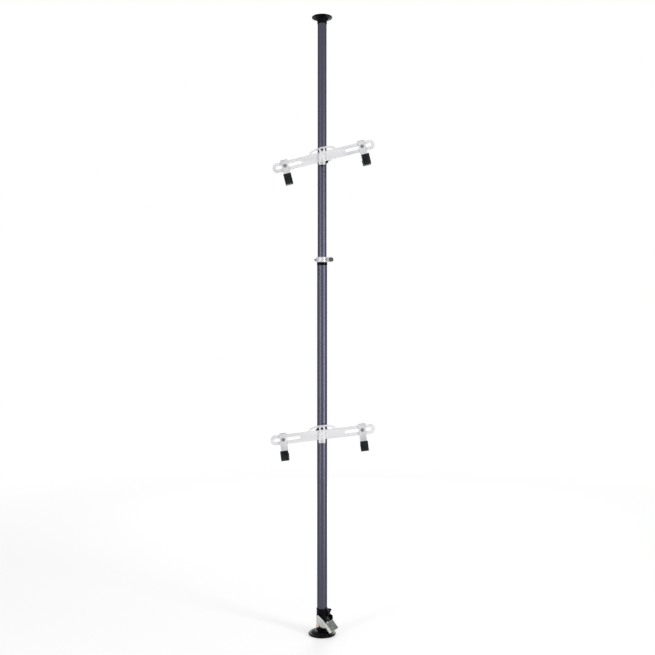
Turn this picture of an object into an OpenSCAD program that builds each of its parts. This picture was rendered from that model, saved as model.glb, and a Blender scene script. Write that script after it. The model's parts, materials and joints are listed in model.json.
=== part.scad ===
// Storage stand: a telescopic pole wedged between floor and ceiling that carries two cradle bars.
// Millimetres, +Z up. The origin is on the floor, on the axis of the pole.
// +X is to the right and +Y is away from the side where the cradles stand out.

/* [Room] */
// Height of the ceiling face above the floor
room_h = 2640; // [2560:1:2760]

/* [Tubes] */
// Outside diameter of the lower tube
lower_od = 42.4; // [41.8:0.1:44]
// Wall of the lower tube
lower_wall = 1.5; // [1.2:0.1:1.7]
// Length of the lower tube
lower_len = 1512; // [1400:1:1600]
// Outside diameter of the upper tube
upper_od = 38; // [36:0.1:38.4]
// Wall of the upper tube
upper_wall = 1.8; // [1.2:0.1:3]
// Length of the upper tube
upper_len = 1500; // [1350:1:1650]
// Length of the guide bush on the upper tube's foot
guide_len = 40; // [20:1:60]
// Width of the slit in the lower tube's top
slit_w = 3; // [2:0.5:4]
// Length of the slit below the tube's top
slit_len = 48; // [44:1:60]
// Diameter of the relief hole that ends the slit
relief_d = 6.5; // [4.5:0.5:9]
// Direction of the slit, degrees from +X
slit_dir = 230; // [200:1:250]
// Diameter of the peg that holds the liner bush in the lower tube
peg_d = 5; // [3:0.5:8]
// Distance from the relief hole down to that peg
peg_drop = 20; // [14:1:26]
// Length of the bush below that peg
bush_tail = 8; // [5:1:14]

/* [Foot] */
// Diameter of the rubber floor pad
foot_d = 117; // [108:1:130]
// Height of the rounded rim of the floor pad
foot_rim_h = 11; // [8:0.5:13]
// Width of the ring between the rim and the dome
foot_ring_w = 9; // [7:0.5:12]
// Height of the dome of the floor pad
dome_h = 22; // [18:0.5:23]
// Diameter of the dome's flat top
dome_top_d = 54; // [46:1:60]
// Thickness of the steel plate on the dome
foot_plate_t = 3; // [2:0.5:5]
// Radius of the lug round the lower pin
lug_r = 8; // [6.5:0.5:8]
// Height of the lower pin
foot_pin_z = 48; // [44:0.5:48.5]
// Distance of the lower pin from the pole's axis
foot_pin_u = -2; // [-4:0.5:-1]
// Diameter of the head of the lower pin
foot_pin_head_d = 15; // [12:0.5:18]
// Thickness of the head of the lower pin
foot_pin_head_t = 5; // [3:0.5:7]

/* [Pedal] */
// Direction of the pedal in plan, degrees from +X
pedal_dir = -27; // [-60:1:0]
// Width of the pedal over its cheeks
pedal_w = 72; // [71:0.5:80]
// Thickness of the pedal's steel
pedal_t = 3; // [2:0.5:3]
// Bend radius between cheek and tread
bend_r = 7; // [5:0.5:9]
// Height of the upper pin above the lower pin
pin_rise = 33; // [32:0.5:34]
// Distance of the upper pin past the lower pin, towards the tread
over_centre = 1.5; // [1:0.1:2]
// Diameter of both pedal pins
pin_d = 8; // [6:0.5:9]
// Top edge of the tread, out from the pole's axis
tread_u = 34; // [33:0.5:37]
// Top edge of the tread, height
tread_z = 60; // [58:0.5:61]
// Length of the tread down its slope
tread_len = 43.3; // [38:0.5:46]
// Slope of the tread below the level, degrees
tread_slope = 49.7; // [46:0.5:54]
// Depth of the pedal's skirt behind the tread
skirt = 10; // [9:0.5:12]
// Number of ridges on the tread
ridge_n = 9; // [5:1:12]
// Width of one ridge
ridge_w = 3.4; // [2:0.1:4]
// Thickness of the tread sheet, and of the ridges on it
tread_t = 1.1; // [0.8:0.1:1.5]
// Margin of the tread sheet inside the pedal's web
tread_margin = 2.5; // [1:0.5:4]
// Thickness of the plastic insert's side walls
block_wall = 7.5; // [4:0.5:8]
// Diameter of the release knob
knob_d = 9; // [7:0.5:10]
// Thickness of the release knob
knob_t = 4.5; // [3:0.5:7]
// Thickness of the washer under the release knob
knob_washer_t = 1.5; // [1:0.5:2]
// Radius of the release knob's stem
knob_stem_r = 2; // [1.5:0.5:3]

/* [Housing] */
// Outside diameter of the housing that holds the lower tube
housing_od = 48.4; // [47:0.1:50]
// Height of the housing's top
housing_top = 113.5; // [112:0.5:118]
// Height of the lower tube's bottom end
tube_foot_z = 94; // [92:0.5:97]
// Depth of the housing below the upper pin
housing_keel = 10.5; // [8.5:0.5:10.5]
// Height of the housing's spigot inside the tube
spigot_h = 46; // [20:1:60]
// Radius of the housing's bosses round the upper pin
boss_r = 9; // [7:0.5:9]
// Thickness of the housing's two clamp ears together with their gap
ear_w = 18; // [14:0.5:20]
// Diameter of the head of the ear bolt
ear_bolt_head_d = 10; // [8:0.5:11]
// Diameter of the ear bolt
ear_bolt_d = 6; // [4:0.5:6]

/* [Tube clamp] */
// Height of the clamp collar
collar_h = 22; // [18:0.5:26]
// Outside diameter of the clamp collar
collar_od = 51; // [49:0.5:55]
// Length of the collar that sits on the lower tube
collar_seat = 16; // [12:0.5:18]
// Height of the plastic ring under the collar
ring_h = 13; // [8:0.5:16]
// Wall of the plastic ring under the collar
ring_t = 0.9; // [0.6:0.1:1.5]
// Distance of the skewer from the pole's axis
skewer_x = 39; // [37:0.5:42]
// Diameter of the skewer
skewer_d = 6; // [5:0.5:7]
// Radius of the collar's ears round the skewer
collar_ear_r = 10; // [9:0.5:11]
// Thickness of the collar's two ears with their gap
collar_ear_w = 28; // [24:0.5:30]
// Gap between the collar's ears
collar_gap = 4; // [2:0.5:6]
// Diameter of the nut on the skewer
nut_d = 19; // [16:0.5:21]
// Thickness of the nut on the skewer
nut_t = 9.5; // [7:0.5:12]
// Diameter of the socket screw in the collar
set_screw_d = 6.5; // [5:0.5:8]
// Direction of the socket screw, degrees from +X
set_screw_dir = 308; // [300:1:315]
// Radius of the cam lever's head
cam_r = 8; // [7:0.5:9]
// Height of the cam lever's head
cam_h = 17; // [14:0.5:20]
// Slot in the cam lever's head
cam_slot = 8.6; // [8:0.1:10]
// Diameter of the cam pin
cam_pin_d = 5; // [4:0.5:6]
// Radius of the lever's arm round the pole, inside face
arm_r = 30; // [28.5:0.5:33]
// Thickness of the lever's arm
arm_t = 4.5; // [3:0.5:6]
// Height of the lever's arm
arm_h = 12; // [9:0.5:14]
// Angle of the end of the lever's arm, degrees from +X
arm_end = 168; // [140:1:175]

/* [Ceiling] */
// Diameter of the ceiling pad
ceiling_d = 87; // [80:1:100]
// Height of the ceiling pad's rim
ceiling_rim_h = 7; // [5:0.5:9]
// Diameter of the ceiling pad's socket
socket_d = 41.5; // [41:0.1:44]
// Height of the whole ceiling pad
ceiling_h = 31; // [28:0.5:36]
// Thickness of the ceiling pad above the tube's end
ceiling_t = 22; // [14:0.5:24]

/* [Mounts] */
// Height of the upper bar's pivot
upper_z = 2062; // [2000:1:2150]
// Height of the lower bar's pivot
lower_z = 885; // [750:1:950]
// Tilt of the upper bar, right end up, degrees
upper_tilt = 14.1; // [-18:0.1:18]
// Tilt of the lower bar, right end up, degrees
lower_tilt = 7; // [-18:0.1:18]
// Outside diameter of both pole clamps
clamp_od = 55; // [53:0.5:60]
// Outside diameter of both liners
liner_od = 47; // [46.4:0.1:50]
// Height of a pole clamp
clamp_h = 35.4; // [30:0.1:38]
// Distance of a pole clamp's top below the pivot
clamp_drop = 8.8; // [8:0.1:10]
// Thickness of a liner's flange
flange_t = 1.6; // [1:0.1:2]
// Height that a liner's flange stands out
flange_w = 2.3; // [1.5:0.1:2.3]
// Distance of a clamp bolt from the pole's axis
clamp_bolt_x = 33; // [32:0.5:36]
// Height of a clamp's ears
clamp_ear_h = 18; // [14:0.5:22]
// Thickness of one clamp ear
clamp_ear_t = 8; // [5:0.5:10]
// Gap between a clamp's front half and rear half
clamp_gap = 2; // [1:0.5:4]
// Diameter of the clamp bolts and the strap bolts
small_bolt_d = 6; // [5:0.5:6]
// Distance of the bar's rear face from the pole's axis
bar_y = 33; // [32.5:0.5:36]
// Thickness of a clamp's front plate
front_plate_t = 6.2; // [5:0.1:6.4]
// Width of a clamp's front plate
front_plate_w = 25; // [20:0.5:27]
// Diameter of a pivot bolt
pivot_d = 8; // [6:0.5:9]
// Diameter of a pivot bolt's head
pivot_head_d = 10; // [9:0.5:12]
// Thickness of the head of every mount bolt
bolt_head_t = 4; // [3:0.5:5]
// Width of the strap in front of a bar
strap_w = 28; // [24:0.5:32]
// Radius of the strap's round top
strap_top_r = 12.7; // [11:0.1:13]
// Distance of the strap's lower end below the pivot
strap_drop = 62; // [61:0.5:66]
// Thickness of the strap in the middle
strap_t = 7.2; // [6:0.1:9]
// Height of the strap's crown over its edges
strap_crown = 3; // [1:0.1:4]
// Distance of the strap bolt below the pivot
strap_bolt_drop = 56; // [56:0.5:57]
// Diameter of the spacer round the strap bolt
spacer_d = 10; // [9:0.5:10]

/* [Bars] */
// Length of a bar
bar_len = 445; // [400:1:500]
// Height of a bar
bar_h = 40; // [36:0.5:40]
// Thickness of a bar
bar_t = 9; // [6:0.5:10]
// Distance of a bar's centre line below its pivot
bar_drop = 27; // [25:0.5:27]
// Height of the slots in a bar
slot_h = 14.5; // [11:0.5:17]
// Length of the slots in a bar
slot_len = 114; // [100:1:124]
// Distance of a slot from its end of the bar
slot_end = 14; // [10:0.5:20]
// Width of the arch over a bar's middle
arch_w = 116; // [104:1:124]
// Height of the arch over a bar's middle
arch_h = 20.5; // [19:0.5:22]
// Width of the arch's band
arch_band = 6; // [4.5:0.5:8]

/* [Hooks] */
// Distance of a hook from its end of the bar
hook_end = 54.5; // [41:0.5:72]
// Width of a hook's steel strip
hook_w = 30; // [24:0.5:34]
// Thickness of a hook's steel strip
hook_t = 5; // [4:0.5:6]
// Gap between a hook's lip and the top of the bar
lip_gap = 2; // [1:0.5:4]
// Length of a hook's lip over the bar
lip_len = 7; // [5:0.5:8]
// Distance from the slot's centre down to the hook's lowest steel
hook_drop = 81; // [76:0.5:90]
// Inside radius of a hook's two large bends
hook_bend = 10; // [8:0.5:12]
// Clear width of a cradle inside its rubber
cradle_w = 35; // [32:0.5:42]
// Height of a hook's front arm over its lowest steel
tip_h = 38; // [34:0.5:44]
// Thickness of the rubber inside a cradle
grip_in = 3.5; // [2.5:0.1:4.5]
// Thickness of the rubber outside a cradle
grip_out = 4.5; // [3:0.1:5.5]
// Thickness of the rubber on a hook's edges and on its tip
grip_edge = 1.3; // [0.8:0.1:2]
// Height of the rubber on a hook's back arm over its lowest steel
grip_back = 23; // [19:0.5:28]
// Diameter of a hook screw
hook_screw_d = 8; // [6:0.5:9]
// Diameter of a hook screw's head
hook_head_d = 14; // [11:0.5:16]
// Width of a slot nut behind the bar
slot_nut_w = 22; // [18:0.5:26]
// Thickness of a slot nut behind the bar
slot_nut_t = 4; // [3:0.5:6]
// Length of a slot nut's key inside the slot
slot_key = 14; // [12:0.5:18]

/* [Fits] */
// Radial running clearance of shafts and tubes
run_fit = 0.05; // [0.02:0.01:0.1]
// Clearance between flat faces that slide
slide_gap = 0.3; // [0.2:0.05:0.4]
// Radial clearance of a bolt in its hole
bolt_fit = 0.1; // [0.05:0.05:0.3]

/* [Hidden] */
$fn = 64;

// Side of the stand that a hook or a wall is on
LEFT = -1;
RIGHT = 1;

// Radii and heights of the two tubes
lower_r = lower_od / 2;
lower_bore = lower_r - lower_wall;
upper_r = upper_od / 2;
upper_bore = upper_r - upper_wall;
lower_top = tube_foot_z + lower_len;
upper_top = room_h - ceiling_t;
upper_foot = upper_top - upper_len;
relief_z = lower_top - slit_len;
peg_z = relief_z - peg_drop;
bush_foot = peg_z - bush_tail;

// Heights of the clamp collar
collar_z = lower_top - collar_seat;
collar_mid = collar_z + collar_h / 2;
ring_z = collar_z - ring_h;

// Pins and tread of the pedal, out from the pole's axis and up
pin_r = pin_d / 2;
pin2_u = foot_pin_u + over_centre;
pin2_z = foot_pin_z + pin_rise;
cheek_out = pedal_w / 2;
cheek_in = cheek_out - pedal_t;
plate_z = dome_h;
plate_top = dome_h + foot_plate_t;
tread_dir = [cos(tread_slope), -sin(tread_slope)];
tread_out = [sin(tread_slope), cos(tread_slope)];
function on_tread(s, n) = [tread_u, tread_z] + s * tread_dir + n * tread_out;

// Places of the release knob and the ear bolt
knob_u = pin2_u + 29;
knob_z = pin2_z - 8;
ear_bolt_u = pin2_u + 34.5;
ear_bolt_z = pin2_z + 26;

// Layers of a mount, as distances in front of the pole's axis
front_y = bar_y - slide_gap;
plate_back = front_y - front_plate_t;
bar_front = bar_y + bar_t;
strap_back = bar_front + slide_gap;
strap_front = strap_back + strap_t;
head_seat = strap_front - 0.7;
hook_back = bar_front + slide_gap;
hook_front = hook_back + hook_t;

// Heights of a mount's pole clamp, from its pivot
clamp_top = -clamp_drop;
clamp_foot = clamp_top - clamp_h;
clamp_mid = clamp_top - clamp_h / 2;
liner_bore_fit = run_fit;
clamp_bore = liner_od / 2 + run_fit;

// Distance of a hook from the middle of its bar
hook_x = bar_len / 2 - hook_end;

// Shape of a hook, in front of the slot's centre
bend_out = hook_bend + hook_t;
tip_in = hook_front + cradle_w + 2 * grip_in;
tip_out = tip_in + hook_t;
bend_z = -hook_drop + bend_out;
tip_z = -hook_drop + tip_h;
lip_z = bar_h / 2 + lip_gap;
lip_bend = 1.5;

// Points of an arc in the plane, from angle a to angle b
function arc(c, r, a, b, n) = [for (i = [0 : n]) let (t = a + (b - a) * i / n) c + r * [cos(t), sin(t)]];

// Points of an ellipse in the plane, from angle a to angle b
function oval(c, rx, ry, a, b, n) =
    [for (i = [0 : n]) let (t = a + (b - a) * i / n) c + [rx * cos(t), ry * sin(t)]];

// A ring on the pole's axis
module ring(r_out, r_in, z, h) {
    translate([0, 0, z]) difference() {
        cylinder(r = r_out, h = h);
        translate([0, 0, -1]) cylinder(r = r_in, h = h + 2);
    }
}

// A rod that runs from y = -far to y = -near, that is towards the front
module rod(r, near, far, n = 48) {
    translate([0, -near, 0]) rotate([90, 0, 0]) cylinder(r = r, h = far - near, $fn = n);
}

// A profile drawn as [out from the pole, up], extruded across the pedal between two widths
module across(v0, v1) {
    translate([0, v1, 0]) rotate([90, 0, 0]) linear_extrude(v1 - v0) children();
}

// The pedal's own frame: out along the pedal is X
module pedal_frame() {
    rotate([0, 0, pedal_dir]) children();
}

// A pin across the pedal, between two widths
module cross_pin(u, z, r, v0, v1, n = 48) {
    translate([u, v1, z]) rotate([90, 0, 0]) cylinder(r = r, h = v1 - v0, $fn = n);
}

// Rubber pad on the floor: round rim, groove and dome
module floor_pad() {
    rim_r = foot_rim_h / 2;
    ring_r = foot_d / 2 - foot_ring_w;
    groove_z = foot_rim_h - 2;
    rim = arc([foot_d / 2 - rim_r, rim_r], rim_r, -90, 100, 12);
    dome = oval([dome_top_d / 2, groove_z], ring_r - dome_top_d / 2, dome_h - groove_z, 0, 90, 10);
    color([0.06, 0.06, 0.065])
        rotate_extrude($fn = 96) polygon(concat([[0, 0]], rim, dome, [[0, dome_h]]));
}

// Steel plate on the dome, with the lug that carries the lower pin
module foot_plate() {
    lug_w = 2 * (cheek_in - slide_gap);
    color([0.10, 0.10, 0.11]) pedal_frame() difference() {
        union() {
            translate([0, 0, plate_z]) cylinder(r = dome_top_d / 2 - 0.5, h = foot_plate_t);
            intersection() {
                union() {
                    cross_pin(foot_pin_u, foot_pin_z, lug_r, -lug_w / 2, lug_w / 2);
                    translate([foot_pin_u - lug_r, -lug_w / 2, plate_z])
                        cube([2 * lug_r, lug_w, foot_pin_z - plate_z]);
                }
                union() {
                    translate([0, 0, plate_z]) cylinder(r = dome_top_d / 2 - 0.5, h = foot_pin_z);
                    translate([-foot_d / 2, -foot_d / 2, plate_top + 4])
                        cube([foot_d, foot_d, foot_pin_z]);
                }
            }
        }
        cross_pin(foot_pin_u, foot_pin_z, pin_r, -cheek_out, cheek_out);
    }
}

// Lower pin: fixed in the lug, with a drilled head outside each cheek
module foot_pin() {
    head_v = cheek_out + slide_gap;
    end_v = head_v + foot_pin_head_t;
    color([0.80, 0.74, 0.72]) pedal_frame() difference() {
        union() {
            cross_pin(foot_pin_u, foot_pin_z, pin_r, -end_v, end_v);
            cross_pin(foot_pin_u, foot_pin_z, foot_pin_head_d / 2, -end_v, -head_v);
            cross_pin(foot_pin_u, foot_pin_z, foot_pin_head_d / 2, head_v, end_v);
        }
        cross_pin(foot_pin_u, foot_pin_z, pin_r * 0.65, -end_v - 1, 2 - end_v);
        cross_pin(foot_pin_u, foot_pin_z, pin_r * 0.65, end_v - 2, end_v + 1);
    }
}

// Outline of a pedal cheek behind the tread
cheek_nose = [[-8, 3], [-6.5, 6.5], [-4, 9], [-1.5, 10]];
cheek_outline = concat(
    [[tread_u, tread_z], on_tread(tread_len, 0), on_tread(tread_len, -skirt), on_tread(14, -skirt)],
    [[tread_u - 9, foot_pin_z - 9], [foot_pin_u + 13, foot_pin_z - 5]],
    arc([foot_pin_u, foot_pin_z], foot_pin_head_d / 2, -20, -200, 10),
    [for (p = [cheek_nose[0], cheek_nose[1], cheek_nose[2], cheek_nose[3]]) [pin2_u, pin2_z] + p]
);

// Section of the pedal's web, with the round inner corners of its bends
bend = [cheek_out - bend_r, -bend_r];
module pedal_web() {
    inside = cheek_in + 1;
    polygon(concat(
        [[-inside, -bend_r - 1]],
        arc([-bend[0], bend[1]], bend_r - pedal_t, 168, 90, 7),
        arc(bend, bend_r - pedal_t, 90, 12, 7),
        [[inside, -bend_r - 1], [inside, 0], [-inside, 0]]
    ));
}

// What the bends take off the pedal's two outer corners
module bend_waste() {
    waste = concat([[cheek_out + 1, 1], [bend[0], 1]], arc(bend, bend_r, 90, 0, 8), [[cheek_out + 1, -bend_r]]);
    for (side = [LEFT, RIGHT]) polygon([for (p = waste) [side * p[0], p[1]]]);
}

// Places a section [across, out of the tread] so that it runs down the tread from s
module down_tread(s) {
    place = on_tread(s, 0);
    translate([place[0], 0, place[1]]) rotate([0, tread_slope, 0]) rotate([90, 0, 90]) children();
}

// Pedal: two cheeks and the tread's web, one bent sheet
module pedal_lever() {
    color([0.72, 0.75, 0.72]) pedal_frame() difference() {
        union() {
            across(-cheek_out, -cheek_in) polygon(cheek_outline);
            across(cheek_in, cheek_out) polygon(cheek_outline);
            down_tread(0) linear_extrude(tread_len) pedal_web();
        }
        down_tread(0) linear_extrude(tread_len + 1) bend_waste();
        cross_pin(foot_pin_u, foot_pin_z, pin_r + run_fit, -cheek_out - 1, cheek_out + 1);
        cross_pin(pin2_u, pin2_z, pin_r, -cheek_out - 1, cheek_out + 1);
    }
}

// Ridged sheet on the pedal's web
module pedal_tread() {
    sheet_w = 2 * (cheek_out - bend_r);
    pitch = (sheet_w - ridge_w) / (ridge_n - 1);
    color([0.45, 0.48, 0.46]) pedal_frame() down_tread(tread_margin) union() {
        linear_extrude(tread_len - 2 * tread_margin)
            translate([-sheet_w / 2, 0]) square([sheet_w, tread_t]);
        for (i = [0 : ridge_n - 1])
            translate([0, 0, 1]) linear_extrude(tread_len - 2 * tread_margin - 2)
                translate([i * pitch - sheet_w / 2, 0]) square([ridge_w, 2 * tread_t]);
    }
}

// Black insert: a wall inside each cheek and a bar behind the web
block_outline = concat(
    [on_tread(-0.5, 3), on_tread(-0.5, -pedal_t), on_tread(24, -pedal_t), on_tread(24, -8)],
    [on_tread(2, -8), [pin2_u + 13, pin2_z - 8], [pin2_u + 10, pin2_z + 8]],
    [[pin2_u + 14, pin2_z + 12.5], [pin2_u + 19, pin2_z + 9], [pin2_u + 24.5, pin2_z + 1]],
    [[knob_u + 6, knob_z + 2], [knob_u + 6, knob_z - 4]]
);
module pedal_block() {
    inner = cheek_in - block_wall;
    color([0.05, 0.05, 0.055]) pedal_frame() difference() {
        union() {
            across(-cheek_in, -inner) polygon(block_outline);
            across(inner, cheek_in) polygon(block_outline);
            across(-cheek_in, cheek_in)
                polygon([on_tread(3, -pedal_t), on_tread(24, -pedal_t), on_tread(24, -8), on_tread(3, -8)]);
        }
        down_tread(-0.01) linear_extrude(tread_len) pedal_web();
        cross_pin(knob_u, knob_z, knob_stem_r, inner - 1, cheek_out);
    }
}

// Upper pin: riveted in the cheeks, turns in the housing
module pedal_pin() {
    color([0.62, 0.64, 0.63]) pedal_frame() union() {
        cross_pin(pin2_u, pin2_z, pin_r, -cheek_out, cheek_out);
        cross_pin(pin2_u, pin2_z, pin_r + 1.5, cheek_out, cheek_out + 1.4);
        cross_pin(pin2_u, pin2_z, pin_r + 1.5, -cheek_out - 1.4, -cheek_out);
    }
}

// Black release knob and its stem, on the far wall of the insert
module release_knob() {
    face = cheek_in + knob_washer_t;
    color([0.05, 0.05, 0.055]) pedal_frame() union() {
        cross_pin(knob_u, knob_z, knob_stem_r, cheek_in - block_wall + 0.5, face + knob_t);
        cross_pin(knob_u, knob_z, knob_d / 2, face, face + knob_t);
    }
}

// Bright washer between the knob and the insert
module knob_washer() {
    color([0.80, 0.80, 0.80]) pedal_frame() difference() {
        cross_pin(knob_u, knob_z, knob_d / 2 + 1.5, cheek_in, cheek_in + knob_washer_t);
        cross_pin(knob_u, knob_z, knob_stem_r, cheek_in - 1, cheek_out + 1);
    }
}

// Outline of the housing's clamp ears
ear_outline = [
    [pin2_u + 20.5, pin2_z + 3], [pin2_u + 28.5, pin2_z + 3], [pin2_u + 33.5, pin2_z + 7],
    [pin2_u + 35.3, pin2_z + 14], [pin2_u + 38, pin2_z + 22], [pin2_u + 37.5, pin2_z + 28],
    [pin2_u + 31, housing_top], [pin2_u + 20.5, housing_top]
];

// Housing at the foot of the lower tube: sleeve, spigot, pin bosses and clamp ears
module base_housing() {
    foot = pin2_z - housing_keel;
    boss_v = cheek_in - slide_gap;
    color([0.07, 0.07, 0.08]) pedal_frame() difference() {
        union() {
            translate([0, 0, foot]) cylinder(r = housing_od / 2, h = housing_top - foot);
            translate([0, 0, foot]) cylinder(r = lower_bore, h = tube_foot_z + spigot_h - foot);
            cross_pin(pin2_u, pin2_z, boss_r, -boss_v, boss_v);
            across(-ear_w / 2, ear_w / 2) polygon(ear_outline);
        }
        ring(lower_r, lower_bore, tube_foot_z, housing_top);
        cross_pin(pin2_u, pin2_z, pin_r + run_fit, -cheek_out, cheek_out);
        translate([lower_r - 0.5, -1.5, tube_foot_z - 1]) cube([40, 3, housing_top]);
        cross_pin(ear_bolt_u, ear_bolt_z, ear_bolt_d / 2 + bolt_fit, -ear_w, ear_w);
    }
}

// Bolt through the housing's clamp ears
module housing_bolt() {
    half = ear_w / 2;
    color([0.04, 0.04, 0.045]) pedal_frame() union() {
        cross_pin(ear_bolt_u, ear_bolt_z, ear_bolt_d / 2, -half - 5, half + 4);
        cross_pin(ear_bolt_u, ear_bolt_z, ear_bolt_head_d / 2, -half - 5, -half);
        cross_pin(ear_bolt_u, ear_bolt_z, ear_bolt_head_d / 2, half, half + 4, 6);
    }
}

// Slot, relief hole and peg hole at the top of the lower tube
module slit_cut(depth) {
    rotate([0, 0, slit_dir]) {
        translate([0, -slit_w / 2, relief_z]) cube([depth, slit_w, slit_len + 1]);
        translate([0, 0, relief_z]) rotate([0, 90, 0]) cylinder(r = relief_d / 2, h = depth, $fn = 32);
    }
}

// Lower tube
module lower_tube() {
    color([0.30, 0.31, 0.37]) difference() {
        ring(lower_r, lower_bore, tube_foot_z, lower_len);
        slit_cut(lower_od);
        rotate([0, 0, slit_dir]) translate([0, 0, peg_z]) rotate([0, 90, 0])
            cylinder(r = peg_d / 2, h = lower_od, $fn = 32);
    }
}

// Plastic bush inside the lower tube's top, held by a peg
module tube_bush() {
    color([0.05, 0.05, 0.05]) difference() {
        union() {
            ring(lower_bore - run_fit, upper_r + run_fit, bush_foot, lower_top - bush_foot);
            rotate([0, 0, slit_dir]) translate([lower_bore - 0.3, 0, peg_z]) rotate([0, 90, 0])
                cylinder(r = peg_d / 2, h = lower_wall + 0.6, $fn = 32);
        }
        slit_cut(lower_bore + 0.1);
    }
}

// Plastic ring under the clamp collar
module collar_ring() {
    color([0.05, 0.06, 0.05]) ring(lower_r + ring_t, lower_r + run_fit, ring_z, ring_h);
}

// Clamp collar with two ears
module qr_collar() {
    ear_half = collar_ear_w / 2;
    color([0.82, 0.82, 0.84]) difference() {
        union() {
            translate([0, 0, collar_z]) cylinder(r = collar_od / 2, h = collar_h);
            translate([skewer_x, 0, collar_mid]) rod(collar_ear_r, -ear_half, ear_half);
            translate([0, -ear_half, collar_mid - collar_ear_r])
                cube([skewer_x, collar_ear_w, 2 * collar_ear_r]);
        }
        translate([0, 0, collar_z - 1]) cylinder(r = lower_r, h = collar_seat + 1);
        translate([0, 0, collar_z]) cylinder(r = upper_r + run_fit, h = collar_h + 1);
        translate([0, -collar_gap / 2, collar_z - 1]) cube([2 * skewer_x, collar_gap, collar_h + 2]);
        translate([skewer_x, 0, collar_mid]) rod(skewer_d / 2 + bolt_fit, -ear_half - 1, ear_half + 1);
        rotate([0, 0, set_screw_dir]) translate([lower_r - 1, 0, collar_mid]) rotate([0, 90, 0])
            cylinder(r = set_screw_d / 2, h = collar_od, $fn = 32);
    }
}

// Socket screw that holds the collar on the lower tube
module collar_screw() {
    depth = collar_od / 2 - lower_r - 0.8;
    color([0.03, 0.03, 0.03]) rotate([0, 0, set_screw_dir])
        translate([lower_r + 0.1, 0, collar_mid]) rotate([0, 90, 0]) difference() {
            cylinder(r = set_screw_d / 2, h = depth, $fn = 32);
            translate([0, 0, depth - 2]) cylinder(r = set_screw_d / 4, h = 3, $fn = 6);
        }
}

// Height and radius of the eye at the skewer's rear end, inside the lever's slot
eye_h = cam_slot - 2 * slide_gap;
eye_r = cam_pin_d / 2 + 2.5;
cam_y = collar_ear_w / 2 + cam_r + slide_gap;

// Skewer through the ears, with an eye for the cam pin
module qr_skewer() {
    color([0.78, 0.78, 0.80]) translate([skewer_x, 0, collar_mid]) difference() {
        union() {
            rod(skewer_d / 2, -cam_y, collar_ear_w / 2 + nut_t - 1);
            translate([0, cam_y, -eye_h / 2]) cylinder(r = eye_r, h = eye_h);
        }
        translate([0, cam_y, -cam_h]) cylinder(r = cam_pin_d / 2 + run_fit, h = 2 * cam_h);
    }
}

// Round nut on the skewer's front end
module qr_nut() {
    front = collar_ear_w / 2;
    color([0.25, 0.27, 0.27]) translate([skewer_x, 0, collar_mid]) difference() {
        union() {
            rod(nut_d / 2, front, front + nut_t - 2);
            rod(nut_d / 2 - 1.5, front, front + nut_t);
        }
        rod(skewer_d / 2, front - 1, front + nut_t - 1);
    }
}

// Cam lever: forked head on the skewer's eye, arm wrapped round the back of the pole
module qr_lever() {
    arm_out = arm_r + arm_t;
    reach = norm([skewer_x, cam_y]);
    bend_dir = atan2(cam_y, skewer_x) + acos((arm_out - cam_r) / reach);
    out = [cos(bend_dir), sin(bend_dir)];
    head = [skewer_x, cam_y];
    swept = skewer_d / 2 + slide_gap;
    color([0.80, 0.80, 0.82]) difference() {
        union() {
            translate([skewer_x, cam_y, collar_mid - cam_h / 2]) cylinder(r = cam_r, h = cam_h);
            translate([0, 0, collar_mid - arm_h / 2]) linear_extrude(arm_h)
                polygon(concat([head + (cam_r - arm_t) * out, head + cam_r * out],
                    arc([0, 0], arm_out, bend_dir, arm_end, 24), arc([0, 0], arm_r, arm_end, bend_dir, 24)));
            rotate([0, 0, arm_end]) translate([arm_r + arm_t / 2, 0, collar_mid - arm_h / 2])
                cylinder(r = arm_t / 2, h = arm_h);
        }
        translate([skewer_x, cam_y, collar_mid - cam_slot / 2]) cylinder(r = eye_r + slide_gap, h = cam_slot);
        translate([skewer_x, cam_y, collar_mid - cam_slot / 2]) linear_extrude(cam_slot)
            polygon([[-swept, 0], [-swept, -2 * cam_r], [2 * cam_r, -2 * cam_r],
                swept * [-sin(30), cos(30)] + 2 * cam_r * [cos(30), sin(30)], swept * [-sin(30), cos(30)]]);
        translate([skewer_x, cam_y, collar_mid - cam_h])
            cylinder(r = cam_pin_d / 2, h = 2 * cam_h, $fn = 48);
    }
}

// Pin of the cam lever
module qr_pin() {
    color([0.6, 0.6, 0.62]) translate([skewer_x, cam_y, collar_mid - cam_h / 2])
        cylinder(r = cam_pin_d / 2, h = cam_h, $fn = 48);
}

// Upper tube
module upper_tube() {
    color([0.32, 0.33, 0.39]) ring(upper_r, upper_bore, upper_foot, upper_len);
}

// Guide bush and plug on the upper tube's foot
module upper_tube_bush() {
    color([0.06, 0.06, 0.06]) union() {
        ring(lower_bore - run_fit, upper_r, upper_foot, guide_len);
        translate([0, 0, upper_foot - 4]) cylinder(r = lower_bore - run_fit, h = 4);
        translate([0, 0, upper_foot - 4]) cylinder(r = upper_bore, h = 18);
    }
}

// Plug in the upper tube's top
module ceiling_plug() {
    color([0.08, 0.08, 0.08]) union() {
        translate([0, 0, upper_top - 30]) cylinder(r = upper_bore, h = 30);
        translate([0, 0, upper_top]) cylinder(r = upper_r, h = 3);
    }
}

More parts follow.
